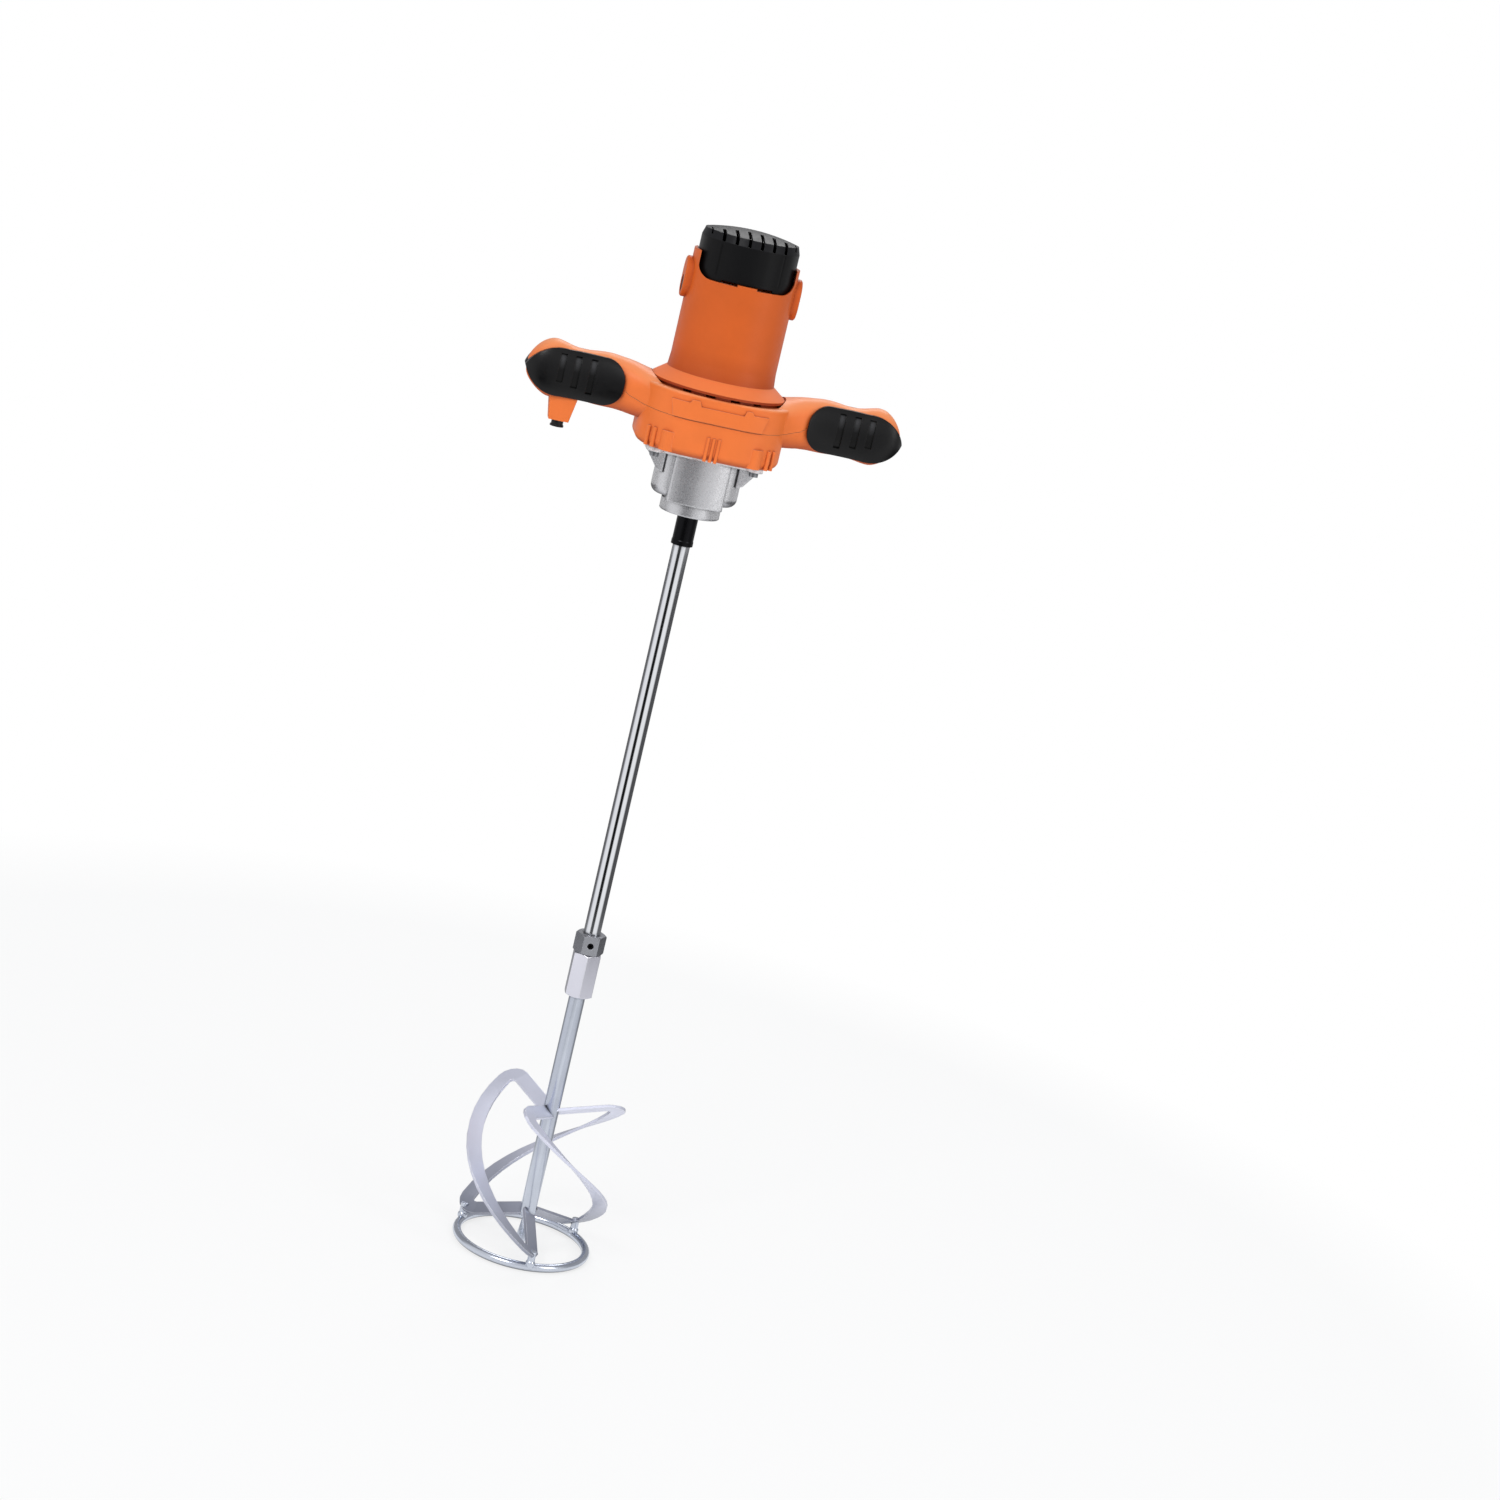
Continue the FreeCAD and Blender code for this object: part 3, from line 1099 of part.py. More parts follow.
def gear_housing():
    case = case_outside()
    lay = CENTRE_DISTANCE
    bore = SPINDLE_LOWER[1] + SEAT_FIT
    groove_z = SPINDLE_LOWER_Z - RETAINING_RING
    cuts = [
        stadium(RIM_R - RIM_WALL, RIM_LEFT_X, lay, FLOOR1, PLATE_BOTTOM + 1),
        disc(WELL_R, FLOOR2, FLOOR1 + 1),
        disc(LAY_WELL_R, FLOOR2, FLOOR1 + 1, lay),
        disc(POCKET_R, LAY_LOWER_Z, FLOOR1 + 1, POCKET_X),
        disc(LAY_LOWER[1] + SEAT_FIT, LAY_LOWER_Z, FLOOR2 + 1, lay),
        disc(SPINDLE_UPPER[1] + SEAT_FIT, SPINDLE_UPPER_Z, FLOOR2 + 1),
        disc(SPINDLE_R + 2, SPINDLE_LOWER_Z, FLOOR2),
        disc(bore, COLLAR_BOTTOM - 1, SPINDLE_LOWER_Z + SPINDLE_LOWER[2]),
        disc(bore + 1.3, groove_z - 0.1, SPINDLE_LOWER_Z),
    ]
    ear_hole_r = HOUSING_SCREW_R + SCREW_FIT
    cuts += four_corners(disc(ear_hole_r, EAR_BOTTOM - 1, SKIRT_BOTTOM + 1, EAR_X, EAR_Y))
    for x, y in plate_screw_places():
        low = PLATE_BOTTOM - PLATE_SCREW_DEPTH - 0.5
        cuts.append(disc(PLATE_SCREW_R + SCREW_FIT, low, PLATE_BOTTOM + 1, x, y))
    return case.cut(cuts)


def gear_plate():
    """Bearing plate that closes the gear housing towards the motor."""
    plate = stadium(RIM_R, RIM_LEFT_X, CENTRE_DISTANCE, PLATE_BOTTOM, PLATE_TOP)
    lip_r = LOWER_BEARING[0] + 1.5
    lay_top = LAY_UPPER_Z + LAY_UPPER[2] + SEAT_FIT
    cuts = [
        disc(lip_r, PLATE_BOTTOM - 1, PLATE_TOP + 1),
        disc(LOWER_BEARING[1] + SEAT_FIT, LOWER_BEARING_Z, PLATE_TOP + 1),
        disc(LAY_UPPER[1] + SEAT_FIT, PLATE_BOTTOM - 1, lay_top, CENTRE_DISTANCE),
    ]
    for x, y in plate_screw_places():
        cuts.append(disc(PLATE_SCREW_R + SCREW_FIT, PLATE_BOTTOM - 1, PLATE_TOP + 1, x, y))
        cuts.append(disc(PLATE_HEAD_R + 0.2, PLATE_TOP - PLATE_HEAD_SINK, PLATE_TOP + 1, x, y))
    return plate.cut(cuts)


def gear_plate_screws():
    screws = []
    seat = PLATE_TOP - PLATE_HEAD_SINK
    top = seat + PLATE_HEAD_HEIGHT
    for x, y in plate_screw_places():
        shank = disc(PLATE_SCREW_R, PLATE_BOTTOM - PLATE_SCREW_DEPTH, seat, x, y)
        screws.append(disc(PLATE_HEAD_R, seat, top, x, y).fuse(shank).cut(cross_slot(x, y, top, 1.2)))
    return Part.makeCompound(screws)


def housing_screws():
    """Long socket screws through the gear housing and the handle body into the motor housing."""
    low = EAR_BOTTOM - HOUSING_HEAD_HEIGHT
    head = disc(HOUSING_HEAD_R, low, EAR_BOTTOM, EAR_X, EAR_Y)
    socket = hexagon(4.0, low - 1, low + 2.5, False)
    socket.translate(V(EAR_X, EAR_Y, 0))
    screw = head.cut(socket).fuse(disc(HOUSING_SCREW_R, EAR_BOTTOM, HOUSING_SCREW_TOP, EAR_X, EAR_Y))
    return Part.makeCompound(four_corners(screw.removeSplitter()))


# Layshaft

def layshaft():
    journal = LAY_UPPER[0]
    foot = LAY_LOWER_Z + 0.6
    top = LAY_UPPER_Z + LAY_UPPER[2] - 0.3
    shaft = revolve([
        (0, foot), (LAY_LOWER[0] - 0.5, foot), (LAY_LOWER[0], foot + 0.5), (LAY_LOWER[0], STAGE2_TOP + 1),
        (SHAFT_R, STAGE2_TOP + 2), (SHAFT_R, PLATE_BOTTOM - 1), (journal, PLATE_BOTTOM - 0.5),
        (journal, top - 0.5), (journal - 0.5, top), (0, top),
    ])
    pinion = spur(STAGE2_PINION, STAGE2_MODULE, PROFILE_SHIFT, STAGE2_BOTTOM - 1, STAGE2_TOP + 1.5)
    return moved_x(shaft.fuse(pinion).removeSplitter(), CENTRE_DISTANCE)


def meshed(gear, teeth, facing):
    """Turns a gear so that a gap, not a tooth, faces the given direction."""
    return turned(gear, facing + 180 / teeth)


def dished(gear, hub_r, web_r, z0, z1, depth):
    """Thins the web of a gear from both faces."""
    return gear.cut([ring(web_r, hub_r, z0 - 1, z0 + depth), ring(web_r, hub_r, z1 - depth, z1 + 1)])


def layshaft_gear():
    gear = spur(STAGE1_GEAR, STAGE1_MODULE, -PROFILE_SHIFT, STAGE1_BOTTOM, STAGE1_TOP)
    gear = dished(gear, 10.0, 17.0, STAGE1_BOTTOM, STAGE1_TOP, 2.5)
    gear = gear.cut(disc(SHAFT_R + SEAT_FIT, STAGE1_BOTTOM - 1, STAGE1_TOP + 1))
    return moved_x(meshed(gear, STAGE1_GEAR, 180), CENTRE_DISTANCE)


# Spindle

def key_box(grow):
    width, length, depth = KEY
    middle = (STAGE2_TOP + STAGE2_BOTTOM) / 2
    return box(-width / 2 - grow, width / 2 + grow, GEAR_SEAT_R - depth, GEAR_SEAT_R + depth,
               middle - length / 2 - grow, middle + length / 2 + grow)


def output_gear():
    gear = spur(STAGE2_GEAR, STAGE2_MODULE, -PROFILE_SHIFT, STAGE2_BOTTOM, STAGE2_TOP)
    gear = dished(gear, GEAR_SEAT_R + 4.5, WELL_R - 8.5, STAGE2_BOTTOM, STAGE2_TOP, 2.5)
    hub = disc(GEAR_SEAT_R + 3.0, SPINDLE_UPPER_Z + SPINDLE_UPPER[2] + 0.1, STAGE2_BOTTOM + 1)
    gear = meshed(gear, STAGE2_GEAR, 0).fuse(hub).removeSplitter()
    bore = disc(GEAR_SEAT_R + SEAT_FIT, SPINDLE_UPPER_Z, STAGE2_TOP + 1)
    half = KEY[0] / 2 + SEAT_FIT
    keyway = box(-half, half, 0, GEAR_SEAT_R + KEY[2] + SEAT_FIT, SPINDLE_UPPER_Z, STAGE2_TOP + 1)
    return gear.cut([bore, keyway])


def gear_key():
    return key_box(0)


def spindle():
    lower, upper = SPINDLE_LOWER[0], SPINDLE_UPPER[0]
    step = SPINDLE_LOWER_Z - 0.3
    lower_top = SPINDLE_LOWER_Z + SPINDLE_LOWER[2] + 2
    upper_low = SPINDLE_UPPER_Z - 1
    upper_top = SPINDLE_UPPER_Z + SPINDLE_UPPER[2]
    lip_r = SPINDLE_R + 0.4
    body = revolve([
        (0, SPINDLE_END), (lip_r, SPINDLE_END), (lip_r, SPINDLE_END + 4), (SPINDLE_R, SPINDLE_END + 5),
        (SPINDLE_R, step), (lower, step), (lower, lower_top), (lower - 0.3, lower_top + 0.3),
        (lower - 0.3, upper_low), (upper, upper_low), (upper, upper_top), (GEAR_SEAT_R, upper_top + 0.1),
        (GEAR_SEAT_R, SPINDLE_TOP - 0.5), (GEAR_SEAT_R - 0.5, SPINDLE_TOP), (0, SPINDLE_TOP),
    ])
    bore = disc(THREAD_R, SPINDLE_END - 1, SPINDLE_END + UPPER_STUD + 2)
    return body.cut([bore, key_box(SEAT_FIT)])


def spindle_seal():
    """Lipped rubber ring in the mouth of the collar."""
    outer = SPINDLE_LOWER[1]
    top = SPINDLE_LOWER_Z - RETAINING_RING - 0.3
    return revolve([
        (SPINDLE_R + RUNNING_FIT, COLLAR_BOTTOM + 0.2), (outer, COLLAR_BOTTOM + 0.2), (outer, top),
        (outer - 1.5, top), (outer - 1.5, COLLAR_BOTTOM + 1.6), (SPINDLE_R + 1.2, COLLAR_BOTTOM + 1.6),
        (SPINDLE_R + 0.8, top), (SPINDLE_R + RUNNING_FIT, top),
    ])


def retaining_ring():
    outer = SPINDLE_LOWER[1] + 1.2
    whole = ring(outer, outer - 3.0, SPINDLE_LOWER_Z - RETAINING_RING, SPINDLE_LOWER_Z)
    return whole.cut(box(-2.5, 2.5, 0, outer + 1, SPINDLE_LOWER_Z - 3, SPINDLE_LOWER_Z + 1))


# Mixing rod

def upper_rod():
    stud = THREAD_R - STUD_GAP
    foot = ROD_END - MIDDLE_STUD
    top = SPINDLE_END + UPPER_STUD
    return revolve([
        (0, foot), (stud - 1, foot), (stud, foot + 1), (stud, ROD_END),
        (ROD_R, ROD_END), (ROD_R, SPINDLE_END), (stud, SPINDLE_END), (stud, top - 1),
        (stud - 1, top), (0, top),
    ])


def lock_nut():
    nut = chamfered_hexagon(NUT_AF, NUT_BOTTOM, ROD_END, False)
    start = V(0, -NUT_AF / 2 - 1, (NUT_BOTTOM + ROD_END) / 2)
    hole = Part.makeCylinder(SET_SCREW_R + SCREW_FIT, NUT_AF / 2, start, ALONG_Y)
    return nut.cut([disc(THREAD_R, NUT_BOTTOM - 1, ROD_END + 1), hole])


def set_screw():
    middle = (NUT_BOTTOM + ROD_END) / 2
    face = -NUT_AF / 2 + SET_SCREW_SINK
    body = Part.makeCylinder(SET_SCREW_R, -THREAD_R - face, V(0, face, middle), ALONG_Y)
    socket = hexagon(3.0, 0, 3.0, False)
    socket.rotate(ORIGIN, ALONG_X, -90)
    socket.translate(V(0, face - 0.5, middle))
    return body.cut(socket)


def hex_coupling():
    body = chamfered_hexagon(COUPLING_AF, COUPLING_BOTTOM, NUT_BOTTOM, True)
    return body.cut(disc(THREAD_R, COUPLING_BOTTOM - 1, NUT_BOTTOM + 1))


def paddle_shaft():
    stud = THREAD_R - STUD_GAP
    hub = RING_Z + HUB_HEIGHT - STRIP_WIDTH / 2 - 1
    thin, thick = PIN_R
    top = COUPLING_BOTTOM + LOWER_STUD
    low = RING_Z + 2
    return revolve([
        (0, low - 4), (thick * 0.5, low - 3.4), (thick * 0.87, low - 1.5), (thick, low + 1), (thin, hub),
        (PADDLE_SHAFT_R - 1, hub), (PADDLE_SHAFT_R, hub + 1), (PADDLE_SHAFT_R, COUPLING_BOTTOM),
        (stud, COUPLING_BOTTOM), (stud, top - 1), (stud - 1, top), (0, top),
    ])


# Paddle blades: each is one strip, bent into an arm, a helix and a second arm

def on_ray(azimuth, radius, z):
    return V(radius * math.cos(azimuth), radius * math.sin(azimuth), z)


def helix_heading(azimuth):
    """Unit vector along the descending strip."""
    middle_r = BLADE_R - STRIP_WIDTH / 2
    run = middle_r * math.radians(BLADE_WRAP)
    heading = V(-math.sin(azimuth) * run, math.cos(azimuth) * run, FOOT_HEIGHT - HELIX_TOP)
    return heading.normalize()


def strip_section(inner, outer, normal):
    """Rectangle across the strip, from its inner to its outer edge."""
    half = V(normal).multiply(STRIP_THICK / 2)
    corners = [inner + half, outer + half, outer - half, inner - half]
    return Part.makePolygon(corners + [corners[0]])


def arm_and_bend(azimuth, root_z, bend_z, side):
    """Sections of one arm, from inside the shaft and round the bend to the helix.
    Side is 1 for the upper arm and -1 for the lower one."""
    out = on_ray(azimuth, 1, 0)
    root = V(0, 0, root_z)
    pivot = on_ray(azimuth, BLADE_R - STRIP_WIDTH - BEND_R, bend_z)
    across = helix_heading(azimuth).multiply(-side)
    end = pivot + V(across).multiply(BEND_R + STRIP_WIDTH / 2)
    along = (end - root).normalize()
    across = (across - V(along).multiply(across.dot(along))).normalize()
    normal = out.cross(across).multiply(side).normalize()
    half = V(across).multiply(STRIP_WIDTH / 2)
    start = root + V(along).multiply(PADDLE_SHAFT_R - 3)
    sections = [strip_section(start - half, start + half, normal)]
    turn = across.getAngle(out)
    for k in range(BEND_STEPS + 1):
        share = k / BEND_STEPS
        first = V(across).multiply(math.sin((1 - share) * turn) / math.sin(turn))
        ray = first + V(out).multiply(math.sin(share * turn) / math.sin(turn))
        inner = pivot + V(ray).multiply(BEND_R)
        sections.append(strip_section(inner, inner + V(ray).multiply(STRIP_WIDTH), normal))
    return sections


def blade(top_azimuth):
    start = math.radians(top_azimuth)
    wrap = math.radians(BLADE_WRAP)
    top_z = RING_Z + HELIX_TOP
    foot_z = RING_Z + FOOT_HEIGHT
    sections = arm_and_bend(start, RING_Z + UPPER_ARM_ROOT, top_z, 1)
    for k in range(1, HELIX_STEPS):
        share = k / HELIX_STEPS
        azimuth = start + wrap * share
        z = top_z + (foot_z - top_z) * share
        normal = helix_heading(azimuth).cross(on_ray(azimuth, 1, 0)).normalize()
        inner = on_ray(azimuth, BLADE_R - STRIP_WIDTH, z)
        sections.append(strip_section(inner, on_ray(azimuth, BLADE_R, z), normal))
    sections += reversed(arm_and_bend(start + wrap, RING_Z + HUB_HEIGHT, foot_z, -1))
    loop = Part.makeLoft(sections, True, True)
    return loop.cut(disc(PADDLE_SHAFT_R, RING_Z + 2, RING_Z + 200))


def paddle_ring(blades):
    """Round ring at the foot, with a welded post under each blade."""
    hoop = Part.makeTorus(RING_R, RING_TUBE_R, V(0, 0, RING_Z), UP)
    posts = []
    for top in BLADE_TOP_AZIMUTH:
        foot = on_ray(math.radians(top + BLADE_WRAP + WELD_TURN), RING_R + 1, RING_Z + RING_TUBE_R)
        posts.append(Part.makeSphere(WELD_R, foot))
        posts.append(disc(WELD_POST_R, RING_Z, RING_Z + FOOT_HEIGHT - 4, foot.x, foot.y))
    return largest(hoop.fuse(posts).removeSplitter().cut(blades))


def motor_nodes():
    return {
        "motor_cap": motor_cap(),
        "cap_screws": cap_screws(),
        "motor_housing": motor_housing(),
        "brush_caps": brush_caps(),
        "brush_holders": brush_holders(),
        "carbon_brushes": carbon_brushes(),
        "brush_springs": brush_springs(),
        "stator_core": stator_core(),
        "stator_screws": stator_screws(),
        "field_coils": field_coils(),
        "motor_baffle": motor_baffle(),
        "upper_bearing": bearing(UPPER_BEARING, UPPER_BEARING_Z),
        "lower_bearing": bearing(LOWER_BEARING, LOWER_BEARING_Z),
        "armature_shaft": armature_shaft(),
        "armature_core": armature_core(),
        "armature_winding": armature_winding(),
        "commutator": commutator(),
        "motor_fan": motor_fan(),
    }


def handle_nodes():
    upper_shell, lower_shell = handle_shells()
    pad = front_pad()
    back = rear_pad(pad)
    outlet = cord_outlet_block()
    return {
        "handle_upper_shell": upper_shell,
        "handle_lower_shell": lower_shell,
        "grip_front_right": pad,
        "grip_front_left": mirrored_x(pad).cut(outlet),
        "grip_rear_right": back,
        "grip_rear_left": mirrored_x(back).cut([outlet, trigger_window()]),
        "handle_screws": handle_screws(),
        "trigger": trigger(),
        "lock_button": lock_button(),
        "switch_body": switch_body(),
        "interference_capacitor": interference_capacitor(),
        "cord_bush": cord_bush(),
        "cord_clamp": cord_clamp(),
        "cord_clamp_screws": cord_clamp_screws(),
    }


def gear_nodes():
    return {
        "gear_housing": gear_housing(),
        "gear_plate": gear_plate(),
        "gear_plate_screws": gear_plate_screws(),
        "housing_screws": housing_screws(),
        "layshaft_upper_bearing": bearing(LAY_UPPER, LAY_UPPER_Z, CENTRE_DISTANCE),
        "layshaft_lower_bearing": bearing(LAY_LOWER, LAY_LOWER_Z, CENTRE_DISTANCE),
        "layshaft": layshaft(),
        "layshaft_gear": layshaft_gear(),
        "output_gear": output_gear(),
        "gear_key": gear_key(),
        "spindle": spindle(),
        "spindle_upper_bearing": bearing(SPINDLE_UPPER, SPINDLE_UPPER_Z),
        "spindle_lower_bearing": bearing(SPINDLE_LOWER, SPINDLE_LOWER_Z),
        "retaining_ring": retaining_ring(),
        "spindle_seal": spindle_seal(),
    }


def rod_nodes():
    blades = [blade(azimuth) for azimuth in BLADE_TOP_AZIMUTH]
    nodes = {
        "upper_rod": upper_rod(),
        "lock_nut": lock_nut(),
        "set_screw": set_screw(),
        "hex_coupling": hex_coupling(),
        "paddle_shaft": paddle_shaft(),
        "paddle_ring": paddle_ring(blades),
    }
    for number, one in enumerate(blades, 1):
        nodes["paddle_blade_" + str(number)] = one
    return nodes


def build():
    os.makedirs("parts", exist_ok=True)
    for group in (motor_nodes, handle_nodes, gear_nodes, rod_nodes):
        for name, shape in group().items():
            shape.exportStep("parts/" + name + ".step")
            print(name, "valid" if shape.isValid() else "BROKEN", len(shape.Solids), round(shape.Volume))


build()
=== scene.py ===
"""Looks of the mixing drill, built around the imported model. Metres, in the frame of the CAD part."""
import json
import math

import bmesh
import bpy
from mathutils import Matrix, Vector


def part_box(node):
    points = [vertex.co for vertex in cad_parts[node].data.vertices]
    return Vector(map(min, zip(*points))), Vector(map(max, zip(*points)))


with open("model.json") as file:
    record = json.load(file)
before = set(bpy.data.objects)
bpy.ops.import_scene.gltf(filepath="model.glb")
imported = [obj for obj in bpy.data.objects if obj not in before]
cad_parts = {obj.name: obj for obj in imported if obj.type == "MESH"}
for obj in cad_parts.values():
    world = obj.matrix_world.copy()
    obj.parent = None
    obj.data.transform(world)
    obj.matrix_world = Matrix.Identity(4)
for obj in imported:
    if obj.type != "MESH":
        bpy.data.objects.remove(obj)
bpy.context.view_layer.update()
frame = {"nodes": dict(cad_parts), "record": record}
nodes = frame["nodes"]

# The floor lies just under the paddle's ring
FLOOR_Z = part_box("paddle_ring")[0].z - 0.0004
FLOOR_RADIUS = 14

# Camera, worked out from the outlines in the photograph: place, angles in degrees and lens in mm
CAMERA_PLACE = (-0.376, -3.070, 0.416)
CAMERA_PITCH = 13.25
CAMERA_YAW = 8.96
CAMERA_ROLL = 13.45
CAMERA_LENS = 80.6
SENSOR_WIDTH = 36

# Heights on the motor housing where its tone changes: rim painted dark as shade, flare with a painted
# highlight, band of painted shade and body
RIM_HEIGHTS = (0.0170, 0.0174)
FLARE_HEIGHTS = (0.0268, 0.0272)
SHADE_BAND_HEIGHTS = (0.028, 0.052)

# The cap: an upright groove at each side of the middle, painted dark as shade, faint flutes, the crown with
# its painted highlight and its darker top
CAP_GROOVE_X = 0.029
CAP_GROOVE_HALF = (0.0004, 0.0014)
CAP_GROOVE_ENDS = ((0.119, 0.121), (0.1495, 0.1475))
CAP_FLUTE_PITCH = 0.0115
CAP_SHOULDER = (0.1502, 0.1508)
CAP_TOP = (0.1572, 0.1580)

# The pads' grooves in the front view, out from the axis: middle and lower end, then their shared sizes and
# the heights over which their painted shade turns to a painted highlight
PAD_GROOVES = ((0.1175, -0.014), (0.132, -0.011), (0.146, -0.008))
GROOVE_HALF = 0.003
GROOVE_SIDE = 0.0004
GROOVE_TOP = 0.0185
GROOVE_EDGE = 0.0005
GROOVE_SHADE_TO_LIGHT = (0.004, 0.014)

# The near-white flange band of the gear housing, and the stretch of the blades above the ring that takes a
# painted shade
FLANGE_FOOT = (-0.0502, -0.0498)
FLANGE_TOP = (-0.0440, -0.0444)
BLADE_SHADE_HEIGHTS = (-0.835, -0.765)


def make_camera():
    """The camera looks at the drill from slightly above, rolled so that the drill leans right."""
    pitch, yaw, roll = (math.radians(a) for a in (CAMERA_PITCH, CAMERA_YAW, CAMERA_ROLL))
    level = Vector((math.sin(yaw), math.cos(yaw), 0))
    right = Vector((math.cos(yaw), -math.sin(yaw), 0))
    ahead = level * math.cos(pitch) - Vector((0, 0, math.sin(pitch)))
    up = right.cross(ahead)
    x_axis = right * math.cos(roll) + up * math.sin(roll)
    y_axis = up * math.cos(roll) - right * math.sin(roll)
    turn = Matrix((x_axis, y_axis, -ahead)).transposed().to_4x4()
    data = bpy.data.cameras.new("camera")
    data.lens = CAMERA_LENS
    data.sensor_width = SENSOR_WIDTH
    data.clip_start = 0.05
    data.clip_end = 60
    camera = bpy.data.objects.new("camera", data)
    camera.matrix_world = Matrix.Translation(CAMERA_PLACE) @ turn
    bpy.context.scene.collection.objects.link(camera)
    bpy.context.scene.camera = camera


def linear(red, green, blue):
    """An 8-bit screen colour as linear values with alpha."""
    def one(value):
        value /= 255
        return value / 12.92 if value <= 0.04045 else ((value + 0.055) / 1.055) ** 2.4
    return one(red), one(green), one(blue), 1.0


def shaded(colour, red, green, blue):
    """A colour with each part scaled, at most white."""
    return tuple(min(1.0, k * c) for k, c in zip((red, green, blue), colour)) + (1.0,)


def scaled(colour, share):
    return shaded(colour, share, share, share)


class Paint:
    """A material under construction, with short calls for the nodes that the finishes share."""

    def __init__(self, name):
        self.name = name
        self.material = bpy.data.materials.new(name)
        self.material.use_nodes = True
        self.tree = self.material.node_tree
        self.shader = self.tree.nodes["Principled BSDF"]
        self.place = self.tree.nodes.new("ShaderNodeTexCoord").outputs["Object"]

    def node(self, kind, **settings):
        made = self.tree.nodes.new(kind)
        for key, value in settings.items():
            setattr(made, key, value)
        return made

    def join(self, source, target):
        self.tree.links.new(source, target)

    def set(self, **values):
        for key, value in values.items():
            self.shader.inputs[key.replace("_", " ")].default_value = value
        return self

    def stretched(self, x, y, z):
        """Object coordinates scaled along each axis, for streaks."""
        mapping = self.node("ShaderNodeMapping")
        mapping.inputs["Scale"].default_value = (x, y, z)
        self.join(self.place, mapping.inputs["Vector"])
        return mapping.outputs["Vector"]

    def noise(self, scale, detail=3.0, roughness=0.55, place=None):
        made = self.node("ShaderNodeTexNoise")
        made.inputs["Scale"].default_value = scale
        made.inputs["Detail"].default_value = detail
        made.inputs["Roughness"].default_value = roughness
        self.join(place or self.place, made.inputs["Vector"])
        return made.outputs["Fac"]

    def cells(self, scale, place=None, feature="F1"):
        made = self.node("ShaderNodeTexVoronoi", feature=feature)
        made.inputs["Scale"].default_value = scale
        self.join(place or self.place, made.inputs["Vector"])
        return made.outputs["Distance"]

    def ramp(self, source, low, high, start=0.0, end=1.0):
        """A clamped straight-line change of a value."""
        made = self.node("ShaderNodeMapRange")
        for key, value in (("From Min", low), ("From Max", high), ("To Min", start), ("To Max", end)):
            made.inputs[key].default_value = value
        self.join(source, made.inputs["Value"])
        return made.outputs["Result"]

    def maths(self, operation, first, second):
        made = self.node("ShaderNodeMath", operation=operation)
        for socket, value in zip(made.inputs, (first, second)):
            if isinstance(value, (int, float)):
                socket.default_value = value
            else:
                self.join(value, socket)
        return made.outputs["Value"]

    def mix(self, share, first, second):
        """A colour between two, by a share that is a socket."""
        made = self.node("ShaderNodeMix", data_type="RGBA")
        self.join(share, made.inputs[0])
        for socket, value in ((made.inputs[6], first), (made.inputs[7], second)):
            if isinstance(value, tuple):
                socket.default_value = value
            else:
                self.join(value, socket)
        return made.outputs[2]

    def rounded(self, radius):
        """The normal of edges softened by a small radius."""
        made = self.node("ShaderNodeBevel", samples=6)
        made.inputs["Radius"].default_value = radius
        return made.outputs["Normal"]

    def edges(self, radius, strength=1.0):
        """A mask that is 1 along sharp edges and 0 on open faces."""
        geometry = self.node("ShaderNodeNewGeometry")
        dot = self.node("ShaderNodeVectorMath", operation="DOT_PRODUCT")
        self.join(self.rounded(radius), dot.inputs[0])
        self.join(geometry.outputs["Normal"], dot.inputs[1])
        return self.ramp(dot.outputs["Value"], 1.0, 0.86, 0.0, strength)

    def facing_up(self, low, high):
        """A mask by how far a face of the part itself looks up or down."""
        split = self.node("ShaderNodeSeparateXYZ")
        place = self.node("ShaderNodeTexCoord")
        self.join(place.outputs["Normal"], split.inputs[0])
        return self.ramp(split.outputs["Z"], low, high)

    def creases(self, distance, low=0.35, high=0.85):
        """A mask that is 0 in narrow gaps and inner corners, and 1 on open faces."""
        made = self.node("ShaderNodeAmbientOcclusion", samples=6, only_local=False)
        made.inputs["Distance"].default_value = distance
        return self.ramp(made.outputs["AO"], low, high)

    def bump(self, height, distance, strength=1.0, normal=None):
        made = self.node("ShaderNodeBump")
        made.inputs["Distance"].default_value = distance
        made.inputs["Strength"].default_value = strength
        self.join(height, made.inputs["Height"])
        if normal is not None:
            self.join(normal, made.inputs["Normal"])
        return made.outputs["Normal"]

    def colour(self, socket):
        self.join(socket, self.shader.inputs["Base Color"])
        return self

    def rough(self, socket):
        self.join(socket, self.shader.inputs["Roughness"])
        return self

    def normal(self, socket):
        self.join(socket, self.shader.inputs["Normal"])
        return self


# Scale and depth of each surface's grain, and the radius of its softened edges and of its painted edge
# highlight
MOULD_GRAIN = 1800
MOULD_DEPTH = 0.00004
MOULD_EDGE = 0.0006
RUBBER_GRAIN = 1500
RUBBER_DEPTH = 0.00003
RUBBER_EDGE = 0.0008
METAL_DEPTH = 0.000015

# How near another face must be for painted shade to darken a gap
SOFT_GAP = 0.006
METAL_GAP = 0.005


